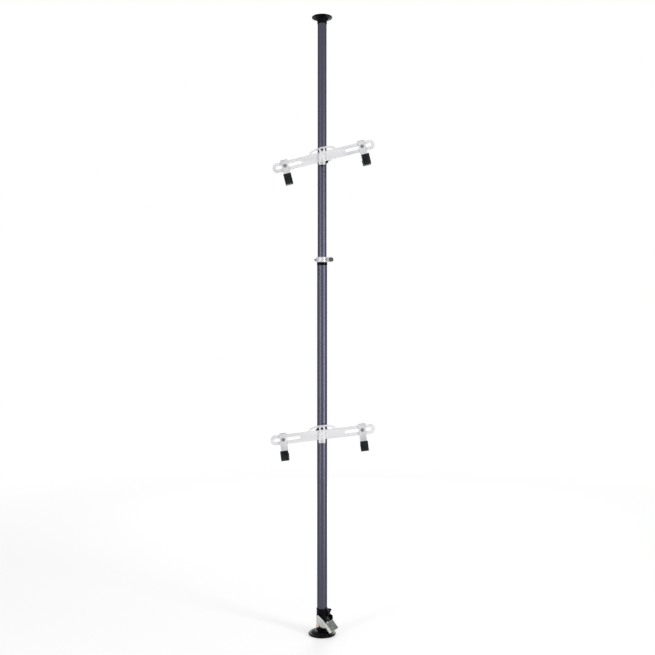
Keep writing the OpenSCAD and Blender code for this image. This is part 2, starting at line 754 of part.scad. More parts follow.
// Rubber pad against the ceiling: flat top, round rim, hollow underside and socket
module ceiling_pad() {
    rim_r = ceiling_rim_h / 2;
    pad_r = ceiling_d / 2;
    socket_z = room_h - ceiling_h;
    flare_top = room_h - ceiling_rim_h;
    flare = oval([pad_r - 3, socket_z + 9], pad_r - 3 - socket_d / 2, flare_top - socket_z - 9, 90, 180, 10);
    color([0.05, 0.05, 0.055]) difference() {
        rotate_extrude($fn = 96) polygon(concat(
            [[0, room_h], [0, socket_z]], [[socket_d / 2, socket_z]],
            [for (i = [10 : -1 : 0]) flare[i]],
            arc([pad_r - rim_r, room_h - rim_r], rim_r, -70, 90, 10)
        ));
        translate([0, 0, socket_z - 1]) cylinder(r = upper_r, h = upper_top + 3 - socket_z + 1, $fn = 96);
    }
}

// Frames of a mount: its pivot, its tilted bar, and one hook at the slot's centre
module at_mount(z) {
    translate([0, 0, z]) children();
}
module on_bar(z, tilt) {
    translate([0, 0, z]) rotate([0, -tilt, 0]) children();
}
module at_hook(z, tilt, side) {
    on_bar(z, tilt) translate([side * hook_x, 0, -bar_drop]) children();
}

// Plastic liner between the pole and a clamp
module liner(z, tube_r) {
    r = liner_od / 2;
    foot = clamp_foot - slide_gap - flange_t;
    height = clamp_h + 2 * slide_gap + 2 * flange_t;
    color([0.06, 0.06, 0.06]) at_mount(z) difference() {
        union() {
            translate([0, 0, foot]) cylinder(r = r, h = height);
            translate([0, 0, foot]) cylinder(r = r + flange_w, h = flange_t);
            translate([0, 0, clamp_top + slide_gap]) cylinder(r = r + flange_w, h = flange_t);
        }
        translate([0, 0, foot - 1]) cylinder(r = tube_r + liner_bore_fit, h = height + 2);
    }
}

// Half of a pole clamp with an ear on each side; side is -1 in front and 1 behind
module clamp_half(side) {
    ear_x = clamp_bolt_x + small_bolt_d;
    difference() {
        union() {
            translate([0, 0, clamp_foot]) cylinder(r = clamp_od / 2, h = clamp_h);
            translate([-ear_x, side < 0 ? -clamp_ear_t - clamp_gap / 2 : 0, clamp_mid - clamp_ear_h / 2])
                cube([2 * ear_x, clamp_ear_t + clamp_gap / 2, clamp_ear_h]);
        }
        translate([0, 0, clamp_foot - 1]) cylinder(r = clamp_bore, h = clamp_h + 2);
        translate([-clamp_od, side < 0 ? -clamp_gap / 2 : clamp_gap / 2 - 2 * clamp_od, clamp_foot - 1])
            cube([2 * clamp_od, 2 * clamp_od, clamp_h + 2]);
        for (x = [-clamp_bolt_x, clamp_bolt_x])
            translate([x, 0, clamp_mid]) rod(small_bolt_d / 2 + bolt_fit, -clamp_od, clamp_od);
    }
}

// Front half of a pole clamp, with the plate that carries the pivot and the strap
module clamp_front(z) {
    half = front_plate_w / 2;
    color([0.05, 0.05, 0.055]) at_mount(z) difference() {
        union() {
            clamp_half(-1);
            rod(half - 1, plate_back, front_y);
            translate([-half, -front_y, -strap_drop + 1]) cube([2 * half, front_plate_t, strap_drop - 1]);
            translate([0, 0, -strap_bolt_drop]) rod(spacer_d / 2, front_y - 0.5, strap_back);
        }
        rod(pivot_d / 2 + bolt_fit, 0, front_y + 1);
        translate([0, 0, -strap_bolt_drop]) rod(small_bolt_d / 2, 0, strap_back + 1);
        translate([0, 0, clamp_foot - 1]) cylinder(r = clamp_bore, h = clamp_h + 2);
    }
}

// Rear half of a pole clamp
module clamp_rear(z) {
    color([0.05, 0.05, 0.055]) at_mount(z) clamp_half(1);
}

// Two bolts with nuts that close a pole clamp
module clamp_bolts(z) {
    face = clamp_gap / 2 + clamp_ear_t;
    color([0.20, 0.20, 0.21]) at_mount(z) for (x = [-clamp_bolt_x, clamp_bolt_x])
        translate([x, 0, clamp_mid]) {
            rod(small_bolt_d / 2, -face - 6, face + bolt_head_t);
            rod(small_bolt_d / 2 + 2, face, face + bolt_head_t);
            rod(small_bolt_d / 2 + 2.5, -face - 5, -face, 6);
        }
}

// Outline of the strap in front of a bar
module strap_outline() {
    corner = 3;
    half = strap_w / 2;
    union() {
        circle(r = strap_top_r, $fn = 64);
        polygon(concat(
            [[-strap_top_r, 0], [-half, -18]],
            arc([corner - half, corner - strap_drop], corner, 180, 270, 5),
            arc([half - corner, corner - strap_drop], corner, 270, 360, 5),
            [[half, -18], [strap_top_r, 0]]
        ));
    }
}

// Crowned strap that holds a bar against its clamp
module strap(z) {
    crown_r = (strap_w * strap_w / 4 + strap_crown * strap_crown) / (2 * strap_crown);
    color([0.90, 0.90, 0.91]) at_mount(z) difference() {
        intersection() {
            translate([0, -strap_back, 0]) rotate([90, 0, 0]) linear_extrude(strap_t) strap_outline();
            translate([0, crown_r - strap_front, -2 * strap_drop])
                cylinder(r = crown_r, h = 4 * strap_drop, $fn = 128);
        }
        rod(pivot_d / 2 + bolt_fit, 0, strap_front + 1);
        rod(pivot_head_d / 2 + 0.5, head_seat, strap_front + 1);
        translate([0, 0, -strap_bolt_drop]) rod(small_bolt_d / 2 + bolt_fit, 0, strap_front + 1);
        translate([0, 0, -strap_bolt_drop]) rod(pivot_head_d / 2 + 0.5, head_seat, strap_front + 1);
    }
}

// Pivot bolt and its nut
module pivot_bolt(z) {
    color([0.30, 0.31, 0.32]) at_mount(z) union() {
        rod(pivot_d / 2, plate_back - bolt_head_t, head_seat);
        rod(pivot_head_d / 2, head_seat, head_seat + bolt_head_t - 1);
        rod(pivot_head_d / 2 - 1, head_seat, head_seat + bolt_head_t);
        rod(pivot_d / 2 + 2, plate_back - bolt_head_t, plate_back, 6);
    }
}

// Bolt at the strap's lower end, screwed into the clamp's front plate
module strap_bolt(z) {
    color([0.80, 0.80, 0.80]) at_mount(z) translate([0, 0, -strap_bolt_drop]) union() {
        rod(small_bolt_d / 2, plate_back + 1, head_seat);
        rod(pivot_head_d / 2, head_seat, head_seat + bolt_head_t - 1);
    }
}

// Outline of a bar: long plate with a slot at each end and an arch over the middle
module bar_outline() {
    half_h = bar_h / 2;
    end_x = bar_len / 2 - half_h;
    top = half_h - bar_drop;
    half_slot = slot_h / 2;
    slot_out = bar_len / 2 - slot_end - half_slot;
    slot_in = bar_len / 2 - slot_end - slot_len + half_slot;
    band_x = arch_w / 2 - arch_band;
    window = concat([[strap_top_r, top]],
        oval([0, top], band_x, arch_h - arch_band, 0, acos(strap_top_r / band_x), 16));
    difference() {
        union() {
            translate([-end_x, -half_h - bar_drop]) square([2 * end_x, bar_h]);
            for (x = [-end_x, end_x]) translate([x, -bar_drop]) circle(r = half_h, $fn = 64);
            polygon(concat(oval([0, top], arch_w / 2, arch_h, 0, 180, 40),
                [[-arch_w / 2, top - 5], [arch_w / 2, top - 5]]));
        }
        for (side = [LEFT, RIGHT]) {
            translate([side > 0 ? slot_in : -slot_out, -bar_drop - half_slot])
                square([slot_out - slot_in, slot_h]);
            for (x = [slot_in, slot_out]) translate([side * x, -bar_drop]) circle(r = half_slot, $fn = 48);
            polygon([for (p = window) [side * p[0], p[1]]]);
        }
        circle(r = pivot_d / 2 + run_fit, $fn = 48);
    }
}

// Bar that carries two hooks
module bar(z, tilt) {
    color([0.88, 0.88, 0.89]) on_bar(z, tilt)
        translate([0, -bar_y, 0]) rotate([90, 0, 0]) linear_extrude(bar_t) bar_outline();
}

// Side view of a hook's steel strip, as [in front of the pole, up from the slot]
function hook_profile() = concat(
    [[hook_back - lip_len, lip_z], [hook_back - lip_bend, lip_z]],
    arc([hook_back - lip_bend, lip_z - lip_bend], lip_bend, 90, 0, 4),
    [[hook_back, bend_z]],
    arc([hook_front + hook_bend, bend_z], bend_out, 180, 270, 10),
    arc([tip_in - hook_bend, bend_z], bend_out, 270, 360, 10),
    [[tip_out, tip_z], [tip_in, tip_z]],
    arc([tip_in - hook_bend, bend_z], hook_bend, 360, 270, 10),
    arc([hook_front + hook_bend, bend_z], hook_bend, 270, 180, 10),
    [[hook_front, lip_z - lip_bend]],
    arc([hook_back - lip_bend, lip_z - lip_bend], lip_bend + hook_t, 0, 90, 6),
    [[hook_back - lip_len, lip_z + hook_t]]
);

// Extrudes a side view, given as [in front of the pole, up], to a width centred on the hook
module hook_wide(w) {
    translate([w / 2, 0, 0]) rotate([90, 0, -90]) linear_extrude(w) children();
}

// Steel hook: lip over the bar, back arm, cradle and front arm
module hook(z, tilt, side) {
    color([0.88, 0.88, 0.90]) at_hook(z, tilt, side) difference() {
        hook_wide(hook_w) polygon(hook_profile());
        rod(hook_screw_d / 2 + bolt_fit, hook_back - 1, hook_front + 1);
    }
}

// Rubber sleeve round the cradle and the front arm
module grip(z, tilt, side) {
    back = hook_back - grip_out;
    front = tip_out + grip_out;
    top = tip_z + grip_edge;
    foot = -hook_drop + grip_back;
    round_out = bend_out + grip_out;
    round_in = hook_bend - grip_in;
    color([0.05, 0.05, 0.05]) at_hook(z, tilt, side) difference() {
        hook_wide(hook_w + 2 * grip_edge) polygon(concat(
            [[hook_front + grip_in, foot], [back, foot]],
            arc([hook_front + hook_bend, bend_z], round_out, 180, 270, 10),
            arc([tip_in - hook_bend, bend_z], round_out, 270, 360, 10),
            arc([front - 3, top - 3], 3, 0, 90, 4),
            arc([tip_in - grip_in + 3, top - 3], 3, 90, 180, 4),
            arc([tip_in - hook_bend, bend_z], round_in, 360, 270, 8),
            arc([hook_front + hook_bend, bend_z], round_in, 270, 180, 8)
        ));
        hook_wide(hook_w) polygon(hook_profile());
    }
}

// Screw with a round head that holds a hook to its slot nut
module hook_screw(z, tilt, side) {
    color([0.20, 0.20, 0.21]) at_hook(z, tilt, side) union() {
        rod(hook_screw_d / 2, bar_y - slide_gap - slot_nut_t, hook_front);
        rod(hook_head_d / 2, hook_front, hook_front + bolt_head_t / 2);
        rod(hook_head_d / 2 - 1.5, hook_front, hook_front + bolt_head_t);
    }
}

// Slot nut: key inside the slot, flange behind the bar
module slot_nut(z, tilt, side) {
    key_h = slot_h - 2 * slide_gap;
    back = bar_y - slide_gap;
    color([0.70, 0.70, 0.72]) at_hook(z, tilt, side) difference() {
        union() {
            translate([-slot_nut_w / 2, -back, -slot_nut_w / 2])
                cube([slot_nut_w, slot_nut_t, slot_nut_w]);
            translate([-slot_key / 2, -bar_front, -key_h / 2])
                cube([slot_key, bar_front - back, key_h]);
        }
        rod(hook_screw_d / 2, 0, hook_front);
    }
}

floor_pad();
foot_plate();
foot_pin();
pedal_lever();
pedal_tread();
pedal_block();
pedal_pin();
release_knob();
knob_washer();
base_housing();
housing_bolt();
lower_tube();
tube_bush();
collar_ring();
qr_collar();
collar_screw();
qr_skewer();
qr_nut();
qr_lever();
qr_pin();
upper_tube();
upper_tube_bush();
ceiling_plug();
ceiling_pad();
liner(upper_z, upper_r);  // upper_liner
clamp_front(upper_z);  // upper_clamp_front
clamp_rear(upper_z);  // upper_clamp_rear
clamp_bolts(upper_z);  // upper_clamp_bolts
strap(upper_z);  // upper_strap
pivot_bolt(upper_z);  // upper_pivot_bolt
strap_bolt(upper_z);  // upper_strap_bolt
bar(upper_z, upper_tilt);  // upper_bar
hook(upper_z, upper_tilt, LEFT);  // upper_hook_left
grip(upper_z, upper_tilt, LEFT);  // upper_grip_left
hook_screw(upper_z, upper_tilt, LEFT);  // upper_hook_screw_left
slot_nut(upper_z, upper_tilt, LEFT);  // upper_slot_nut_left
hook(upper_z, upper_tilt, RIGHT);  // upper_hook_right
grip(upper_z, upper_tilt, RIGHT);  // upper_grip_right
hook_screw(upper_z, upper_tilt, RIGHT);  // upper_hook_screw_right
slot_nut(upper_z, upper_tilt, RIGHT);  // upper_slot_nut_right
liner(lower_z, lower_r);  // lower_liner
clamp_front(lower_z);  // lower_clamp_front
clamp_rear(lower_z);  // lower_clamp_rear
clamp_bolts(lower_z);  // lower_clamp_bolts
strap(lower_z);  // lower_strap
pivot_bolt(lower_z);  // lower_pivot_bolt
strap_bolt(lower_z);  // lower_strap_bolt
bar(lower_z, lower_tilt);  // lower_bar
hook(lower_z, lower_tilt, LEFT);  // lower_hook_left
grip(lower_z, lower_tilt, LEFT);  // lower_grip_left
hook_screw(lower_z, lower_tilt, LEFT);  // lower_hook_screw_left
slot_nut(lower_z, lower_tilt, LEFT);  // lower_slot_nut_left
hook(lower_z, lower_tilt, RIGHT);  // lower_hook_right
grip(lower_z, lower_tilt, RIGHT);  // lower_grip_right
hook_screw(lower_z, lower_tilt, RIGHT);  // lower_hook_screw_right
slot_nut(lower_z, lower_tilt, RIGHT);  // lower_slot_nut_right
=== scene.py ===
"""Looks of the storage stand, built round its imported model.

Metres, +Z up. The pole stands on the origin and the cradles stand out towards -Y, where the camera is.
"""
import json
from math import acos, asin, atan2, ceil, cos, degrees, hypot, pi, radians, sin, tan

import bmesh
import bpy
from mathutils import Matrix, Vector


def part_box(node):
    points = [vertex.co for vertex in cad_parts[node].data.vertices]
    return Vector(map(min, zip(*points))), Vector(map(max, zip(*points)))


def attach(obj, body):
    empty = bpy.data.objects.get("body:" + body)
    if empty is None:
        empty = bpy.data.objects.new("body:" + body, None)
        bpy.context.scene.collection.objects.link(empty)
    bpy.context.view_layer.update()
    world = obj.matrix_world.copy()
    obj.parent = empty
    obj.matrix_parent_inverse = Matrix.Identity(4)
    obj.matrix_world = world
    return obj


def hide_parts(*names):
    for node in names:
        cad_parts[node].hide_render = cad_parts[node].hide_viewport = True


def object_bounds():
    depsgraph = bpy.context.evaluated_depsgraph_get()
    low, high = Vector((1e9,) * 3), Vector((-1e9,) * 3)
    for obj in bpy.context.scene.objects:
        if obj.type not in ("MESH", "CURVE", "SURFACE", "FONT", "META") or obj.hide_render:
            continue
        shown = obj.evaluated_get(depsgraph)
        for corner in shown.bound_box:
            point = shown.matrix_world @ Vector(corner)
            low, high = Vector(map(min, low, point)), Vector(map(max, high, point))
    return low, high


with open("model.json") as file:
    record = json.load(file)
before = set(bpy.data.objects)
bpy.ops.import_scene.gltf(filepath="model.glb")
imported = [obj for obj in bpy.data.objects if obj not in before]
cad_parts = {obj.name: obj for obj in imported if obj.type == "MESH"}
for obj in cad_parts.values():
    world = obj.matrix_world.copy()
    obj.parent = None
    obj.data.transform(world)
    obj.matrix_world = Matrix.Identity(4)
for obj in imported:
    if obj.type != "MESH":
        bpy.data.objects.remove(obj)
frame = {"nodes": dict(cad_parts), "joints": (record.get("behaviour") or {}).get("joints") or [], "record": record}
cad_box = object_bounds()

JOINTS = {joint["name"]: joint for joint in frame["joints"]}
BODY = {node: body for body, nodes in frame["record"]["behaviour"]["bodies"].items() for node in nodes}
SLOT = {part["node"]: part["material_slot"] for part in frame["record"]["subparts"]}

# Fineness: segments of a full turn, largest step along an arc, steps of a rounded edge
SEGMENTS = 96
BOLT_SEGMENTS = 48
FEW_SEGMENTS = 32
ARC_STEP = radians(6)
EDGE_STEPS = 3
# Angles of the points inside a quarter of an ellipse
QUARTER = [ARC_STEP * i for i in range(1, 15)]
# Two faces that meet at more than this angle keep a crisp edge
SHARP = radians(42)
# How far a cutter reaches past what it cuts, and the chamfer of a drill's ends
CLEAR = 0.01
TINY = 0.0001


# Frames

def shift(x=0, y=0, z=0):
    return Matrix.Translation((x, y, z))


def turn(angle, axis):
    return Matrix.Rotation(radians(angle), 4, axis)


def heading(angle):
    return Vector((cos(radians(angle)), sin(radians(angle))))


# Drawn in the plane of the bars, with the thickness towards the front
FRONT = turn(90, "X")
# Drawn as [in front of the pole, up], with the thickness along the bars
SIDE = turn(-90, "Z") @ turn(90, "X")


def box_in(node, place):
    """Lowest and highest corner of a CAD node, measured in the frame that place gives."""
    inverse = place.inverted()
    points = [inverse @ vertex.co for vertex in frame["nodes"][node].data.vertices]
    low = Vector(min(point[i] for point in points) for i in range(3))
    high = Vector(max(point[i] for point in points) for i in range(3))
    return low, high


# Outlines

def arc(centre, radius, start, end):
    """Points of an arc between two angles in degrees."""
    sweep = radians(end - start)
    steps = max(2, ceil(abs(sweep) / ARC_STEP))
    angles = [radians(start) + sweep * i / steps for i in range(steps + 1)]
    return [(centre[0] + radius * cos(a), centre[1] + radius * sin(a)) for a in angles]


def circle(centre, radius):
    return arc(centre, radius, 0, 360)[:-1]


def rounded(corners, closed=True):
    """Outline of (x, y, fillet radius, ...) corners. What follows a radius goes to each of its points."""
    points = []
    last = len(corners) - 1
    for i, corner in enumerate(corners):
        x, y, radius, *rest = corner if len(corner) > 2 else (*corner, 0)
        if not radius or (not closed and i in (0, last)):
            points.append((x, y, *rest))
            continue
        here = Vector((x, y))
        back = (Vector(corners[i - 1][:2]) - here).normalized()
        ahead = (Vector(corners[(i + 1) % len(corners)][:2]) - here).normalized()
        half = back.angle(ahead) / 2
        centre = here + (back + ahead).normalized() * radius / sin(half)
        spoke = here + back * radius / tan(half) - centre
        sweep = pi - 2 * half
        if back.x * ahead.y - back.y * ahead.x > 0:
            sweep = -sweep
        steps = max(2, ceil(abs(sweep) / ARC_STEP))
        for k in range(steps + 1):
            point = centre + Matrix.Rotation(sweep * k / steps, 2) @ spoke
            points.append((point.x, point.y, *rest))
    return points


def rectangle(left, low, right, high, radius=0):
    return rounded([(left, low, radius), (right, low, radius), (right, high, radius), (left, high, radius)])


def area(points):
    """Signed area of an outline: positive where it runs anticlockwise."""
    pairs = zip(points, points[1:] + points[:1])
    return sum(a[0] * b[1] - b[0] * a[1] for a, b in pairs) / 2


def oriented(points, anticlockwise):
    return points if (area(points) > 0) == anticlockwise else points[::-1]


def inset(points, distance):
    """The outline moved to its left, which is towards the material."""
    moved = []
    for i, point in enumerate(points):
        here = Vector(point[:2])
        before = (here - Vector(points[i - 1][:2])).normalized()
        after = (Vector(points[(i + 1) % len(points)][:2]) - here).normalized()
        left = Vector((-before.y, before.x))
        other = Vector((-after.y, after.x))
        moved.append(here + (left + other) * distance / (1 + max(left.dot(other), -0.5)))
    return moved


def mirrored(points):
    return [(-point[0], *point[1:]) for point in points]


def both_ends(half):
    """The whole profile of a pin from its upper half."""
    return half + [(radius, -height) for radius, height in reversed(half)]


def hexagon(radius, angle):
    """Distance from the middle to the side of a hexagon of that inner radius."""
    half = pi / 6
    return radius / cos(angle % (2 * half) - half)


def wave(angle):
    """Rises from 0 to 1 and falls back to 0 in each turn."""
    return 0.5 - 0.5 * cos(angle)


def fluted(count, depth):
    """Shape of a round edge with grooves for the fingers."""
    return lambda radius, angle: radius - depth * wave(count * angle)


# Solids

def mesh_of(bm, place):
    """Closes the work on a bmesh: normals out, placed, and made a mesh."""
    bmesh.ops.remove_doubles(bm, verts=bm.verts, dist=1e-7)
    bmesh.ops.recalc_face_normals(bm, faces=bm.faces)
    bm.transform(place)
    mesh = bpy.data.meshes.new("solid")
    bm.to_mesh(mesh)
    bm.free()
    return mesh


def revolve(profile, place=Matrix(), closed=False, start=0, end=360, segments=SEGMENTS):
    """Turns (radius, height) points round Z. A third value is a function that shapes the ring there."""
    bm = bmesh.new()
    full = end - start >= 360
    count = segments if full else segments + 1
    angles = [radians(start + (end - start) * i / segments) for i in range(count)]
    rings = []
    for radius, height, *shape in profile:
        if radius < 1e-7:
            rings.append([bm.verts.new((0, 0, height))] * count)
            continue
        reach = [shape[0](radius, angle) if shape else radius for angle in angles]
        rings.append([bm.verts.new((r * cos(a), r * sin(a), height)) for r, a in zip(reach, angles)])
    pairs = list(zip(rings, rings[1:]))
    if closed:
        pairs.append((rings[-1], rings[0]))
    for low, high in pairs:
        for i in range(segments):
            j = (i + 1) % count
            corners = list(dict.fromkeys([low[i], low[j], high[j], high[i]]))
            if len(corners) > 2:
                bm.faces.new(corners)
    if not full:
        bm.faces.new([ring[0] for ring in rings])
        bm.faces.new([ring[-1] for ring in rings])
    return mesh_of(bm, place)


def turned(corners, place=Matrix(), segments=SEGMENTS):
    """Turns an open profile of corners, which runs from axis to axis, round Z."""
    return revolve(rounded(corners, closed=False), place, segments=segments)


def pin(radius, low, high, chamfer, place, segments=BOLT_SEGMENTS):
    return revolve([(0, low), (radius - chamfer, low), (radius, low + chamfer), (radius, high - chamfer),
                    (radius - chamfer, high), (0, high)], place, segments=segments)


def drum(radius, low, high, soft, place, segments=64):
    return turned([(0, low), (radius, low, soft), (radius, high, soft), (0, high)], place, segments)


def drill(radius, low, high, place, segments=BOLT_SEGMENTS):
    return pin(radius, low, high, TINY, place, segments)


def slab(outline, holes, low, high, soft):
    """A bmesh of a plate between two heights, with rounded edges of radius soft."""
    bm = bmesh.new()
    loops = [oriented(outline, True)] + [oriented(hole, False) for hole in holes]
    quarter = [pi / 2 * k / EDGE_STEPS for k in range(EDGE_STEPS + 1)]
    levels = [(soft * (1 - cos(a)), high - soft + soft * sin(a)) for a in quarter]
    levels = [(depth, low + high - height) for depth, height in reversed(levels)] + levels
    if not soft:
        levels = [(0, low), (0, high)]
    stacks = []
    for loop in loops:
        rings = [[bm.verts.new((*point[:2], z)) for point in inset(loop, depth)] for depth, z in levels]
        stacks.append(rings)
        for below, above in zip(rings, rings[1:]):
            for i in range(len(loop)):
                j = (i + 1) % len(loop)
                bm.faces.new([below[i], below[j], above[j], above[i]])
    for level in (0, -1):
        rims = [rings[level] for rings in stacks]
        edges = [bm.edges.get((rim[i - 1], rim[i])) for rim in rims for i in range(len(rim))]
        bmesh.ops.triangle_fill(bm, use_beauty=True, edges=edges, normal=(0, 0, 1 if level else -1))
    return bm


def plate(outline, low, high, place=Matrix(), holes=(), soft=0):
    return mesh_of(slab(outline, holes, low, high, soft), place)


def folded(bm, folds, normal, moved, place):
    """A slab with edge loops across it at its folds, whose vertices go where the function says."""
    bmesh.ops.recalc_face_normals(bm, faces=bm.faces)
    for fold in folds:
        everything = bm.verts[:] + bm.edges[:] + bm.faces[:]
        bmesh.ops.bisect_plane(bm, geom=everything, plane_co=fold, plane_no=normal)
    for vertex in bm.verts:
        vertex.co = moved(*vertex.co)
    return mesh_of(bm, place)


def joined(*meshes):
    """Several closed shells as one mesh."""
    bm = bmesh.new()
    for mesh in meshes:
        bm.from_mesh(mesh)
    return mesh_of(bm, Matrix())


def shown(name, data):
    """A new object in the scene."""
    made = bpy.data.objects.new(name, data)
    bpy.context.scene.collection.objects.link(made)
    return made


def combined(base, tools, operation):
    """Joins, cuts or intersects solids with Blender's exact boolean."""
    for tool in tools:
        objects = [shown("work", mesh) for mesh in (base, tool)]
        modifier = objects[0].modifiers.new("combine", "BOOLEAN")
        modifier.operation = operation
        modifier.solver = "EXACT"
        modifier.object = objects[1]
        graph = bpy.context.evaluated_depsgraph_get()
        base = bpy.data.meshes.new_from_object(objects[0].evaluated_get(graph))
        for obj in objects:
            bpy.data.objects.remove(obj)
    return base


def fused(base, *others):
    return combined(base, others, "UNION")


def cut(base, *tools):
    return combined(base, tools, "DIFFERENCE")


# Finishes

class Graph:
    """A tree of shader nodes."""

    def __init__(self, tree):
        self.tree = tree

    def feed(self, node, values):
        """Links each value that is a socket to the node's input of that name, and sets the others."""
        for key, value in values.items():
            if isinstance(value, bpy.types.NodeSocket):
                self.tree.links.new(value, node.inputs[key])
            else:
                node.inputs[key].default_value = value

    def node(self, kind, values=None, **settings):
        made = self.tree.nodes.new("ShaderNode" + kind)
        for key, value in settings.items():
            setattr(made, key, value)
        self.feed(made, values or {})
        return made

    def ranged(self, source, first, last, low, high, **settings):
        """Maps the source's values between first and last to those between low and high."""
        values = {"Value": source, "From Min": first, "From Max": last, "To Min": low, "To Max": high}
        return self.node("MapRange", values, **settings).outputs["Result"]


# Materials by the slot they are for
FINISH = {}
# Middle range of a noise's values, and the pointiness of a slight and a sharp edge
NOISE_RANGE = (0.3, 0.7)
EDGE_RANGE = (0.52, 0.62)


class Shader(Graph):
    """A Principled material whose colour, roughness and relief come from noise in the object's own space."""

    def __init__(self, slot, metallic=0, specular=0.5):
        FINISH[slot] = bpy.data.materials.new(slot)
        FINISH[slot].use_nodes = True
        super().__init__(FINISH[slot].node_tree)
        self.space = self.node("TexCoord").outputs["Object"]
        self.relief = None
        self.set({"Metallic": metallic, "Specular IOR Level": specular})

    def set(self, values):
        self.feed(self.tree.nodes["Principled BSDF"], values)

    def noise(self, scale, detail=2, stretch=(1, 1, 1), rotation=(0, 0, 0)):
        """Noise with features of about 1/scale metres."""
        angles = [radians(a) for a in rotation]
        placed = self.node("Mapping", {"Vector": self.space, "Scale": stretch, "Rotation": angles})
        values = {"Vector": placed.outputs["Vector"], "Scale": scale, "Detail": detail}
        return self.node("TexNoise", values).outputs["Fac"]

    def cells(self, scale):
        return self.node("TexVoronoi", {"Vector": self.space, "Scale": scale}).outputs["Color"]

    def colour(self, source, dark, light, low=0.35, high=0.65):
        """Runs from a dark to a light colour over the middle of the source."""
        ramp = self.node("ValToRGB", {"Fac": source})
        for i, (position, shade) in enumerate(((low, dark), (high, light))):
            ramp.color_ramp.elements[i].position = position
            ramp.color_ramp.elements[i].color = (*shade, 1)
        self.set({"Base Color": ramp.outputs["Color"]})
        return ramp.outputs["Color"]

    def tint_edges(self, colour, edge, amount):
        """Gives the convex edges a colour of their own. On the pale alloy and steel finishes that is a darker
        painted shade line, on the pedal and tread a lighter painted highlight.
        """
        convex = self.node("NewGeometry").outputs["Pointiness"]
        share = self.ranged(convex, *EDGE_RANGE, 0, amount)
        mix = self.node("Mix", {0: share, 6: colour, 7: (*edge, 1)}, data_type="RGBA")
        self.set({"Base Color": mix.outputs[2]})

    def roughness(self, source, low, high):
        self.set({"Roughness": self.ranged(source, *NOISE_RANGE, low, high)})

    def bump(self, source, depth, strength=1):
        """Adds relief of that depth in metres."""
        values = {"Height": source, "Distance": depth, "Strength": strength}
        if self.relief:
            values["Normal"] = self.relief
        self.relief = self.node("Bump", values).outputs["Normal"]
        self.set({"Normal": self.relief})


def rubber(name, dark, light, rough, grain, specular=0.18):
    """Moulded rubber with a fine grain and a faint bloom of dust."""
    look = Shader(name, specular=specular)
    look.set({"Specular Tint": (0.3, 0.3, 0.3, 1)})
    look.colour(look.noise(34, 5), dark, light)
    look.roughness(look.noise(90, 3), *rough)
    look.bump(look.noise(grain), 0.00008)
    look.bump(look.noise(60), 0.00025, 0.4)


def plastic(name, dark, light):
    """Glass-filled plastic with a spark-eroded grain."""
    look = Shader(name, specular=0.03)
    look.colour(look.noise(55, 4), dark, light)
    look.roughness(look.noise(120, 3), 0.38, 0.54)
    look.bump(look.noise(2600), 0.00005)


def enamel(name, dark, light, edge, edge_share):
    """Baked enamel on cast or pressed steel: orange peel, with lighter convex edges."""
    look = Shader(name, specular=0.05)
    look.tint_edges(look.colour(look.noise(48, 4), dark, light), edge, edge_share)
    look.roughness(look.noise(150, 3), 0.28, 0.4)
    look.bump(look.noise(750, 1), 0.00004)


def lacquered_tube(name, dark, light):
    """Metallic lacquer on a drawn tube: flakes, and faint lines along its length."""
    look = Shader(name, metallic=1)
    look.set({"Specular Tint": (0.25, 0.25, 0.3, 1)})
    look.colour(look.cells(1900), dark, light, 0.1, 0.9)
    look.roughness(look.noise(260, 3, stretch=(1, 1, 0.02)), 0.3, 0.4)
    look.bump(look.noise(420, 2, stretch=(1, 1, 0.015)), 0.00003)
    look.bump(look.noise(900, 1), 0.000015)


def metal(name, dark, light, rough, grain, stretch=(1, 1, 1), rotation=(0, 0, 0), edge=1.12, edge_share=0.5,
          metallic=1):
    """Metal brushed along the direction that stretch leaves long. Its edges are edge times as light."""
    look = Shader(name, metallic)
    colour = look.colour(look.noise(40, 4, stretch, rotation), dark, light)
    look.tint_edges(colour, [min(1, edge * channel) for channel in light], edge_share)
    look.roughness(look.noise(grain, 3, stretch, rotation), *rough)
    look.bump(look.noise(grain, 2, stretch, rotation), 0.00003)
    look.bump(look.noise(70, 1), 0.00012, 0.25)


rubber("pad_rubber", (0.0015, 0.0019, 0.0017), (0.0045, 0.0052, 0.0048), (0.17, 0.28), 1500)
rubber("grip_rubber", (0.009, 0.011, 0.012), (0.021, 0.024, 0.026), (0.42, 0.58), 1900, specular=0.12)
plastic("black_plastic", (0.002, 0.002, 0.003), (0.006, 0.006, 0.007))
enamel("black_enamel", (0.0022, 0.0024, 0.0034), (0.0056, 0.006, 0.008), (0.05, 0.05, 0.05), 0.3)
enamel("nut_enamel", (0.045, 0.051, 0.048), (0.07, 0.078, 0.074), (0.25, 0.26, 0.25), 0.5)
lacquered_tube("tube_slate", (0.058, 0.058, 0.082), (0.088, 0.088, 0.118))
# The pedal's edges are 1.4 times as light and the tread's 1.8 times: a painted highlight along the cheeks' bends
# and edges, the tread's ridges and the hook screws' heads.
metal("pedal_steel", (0.35, 0.36, 0.34), (0.49, 0.5, 0.475), (0.26, 0.42), 1400, (1, 1, 0.06), (0, 40, 27),
      edge=1.4)
metal("tread_steel", (0.15, 0.163, 0.15), (0.23, 0.245, 0.23), (0.34, 0.5), 1300, edge=1.8)
metal("pin_steel", (0.42, 0.35, 0.33), (0.62, 0.53, 0.5), (0.22, 0.36), 1100)
metal("bolt_steel", (0.04, 0.04, 0.043), (0.085, 0.085, 0.09), (0.28, 0.42), 1000)
metal("bright_steel", (0.44, 0.44, 0.45), (0.6, 0.6, 0.61), (0.24, 0.38), 1200)
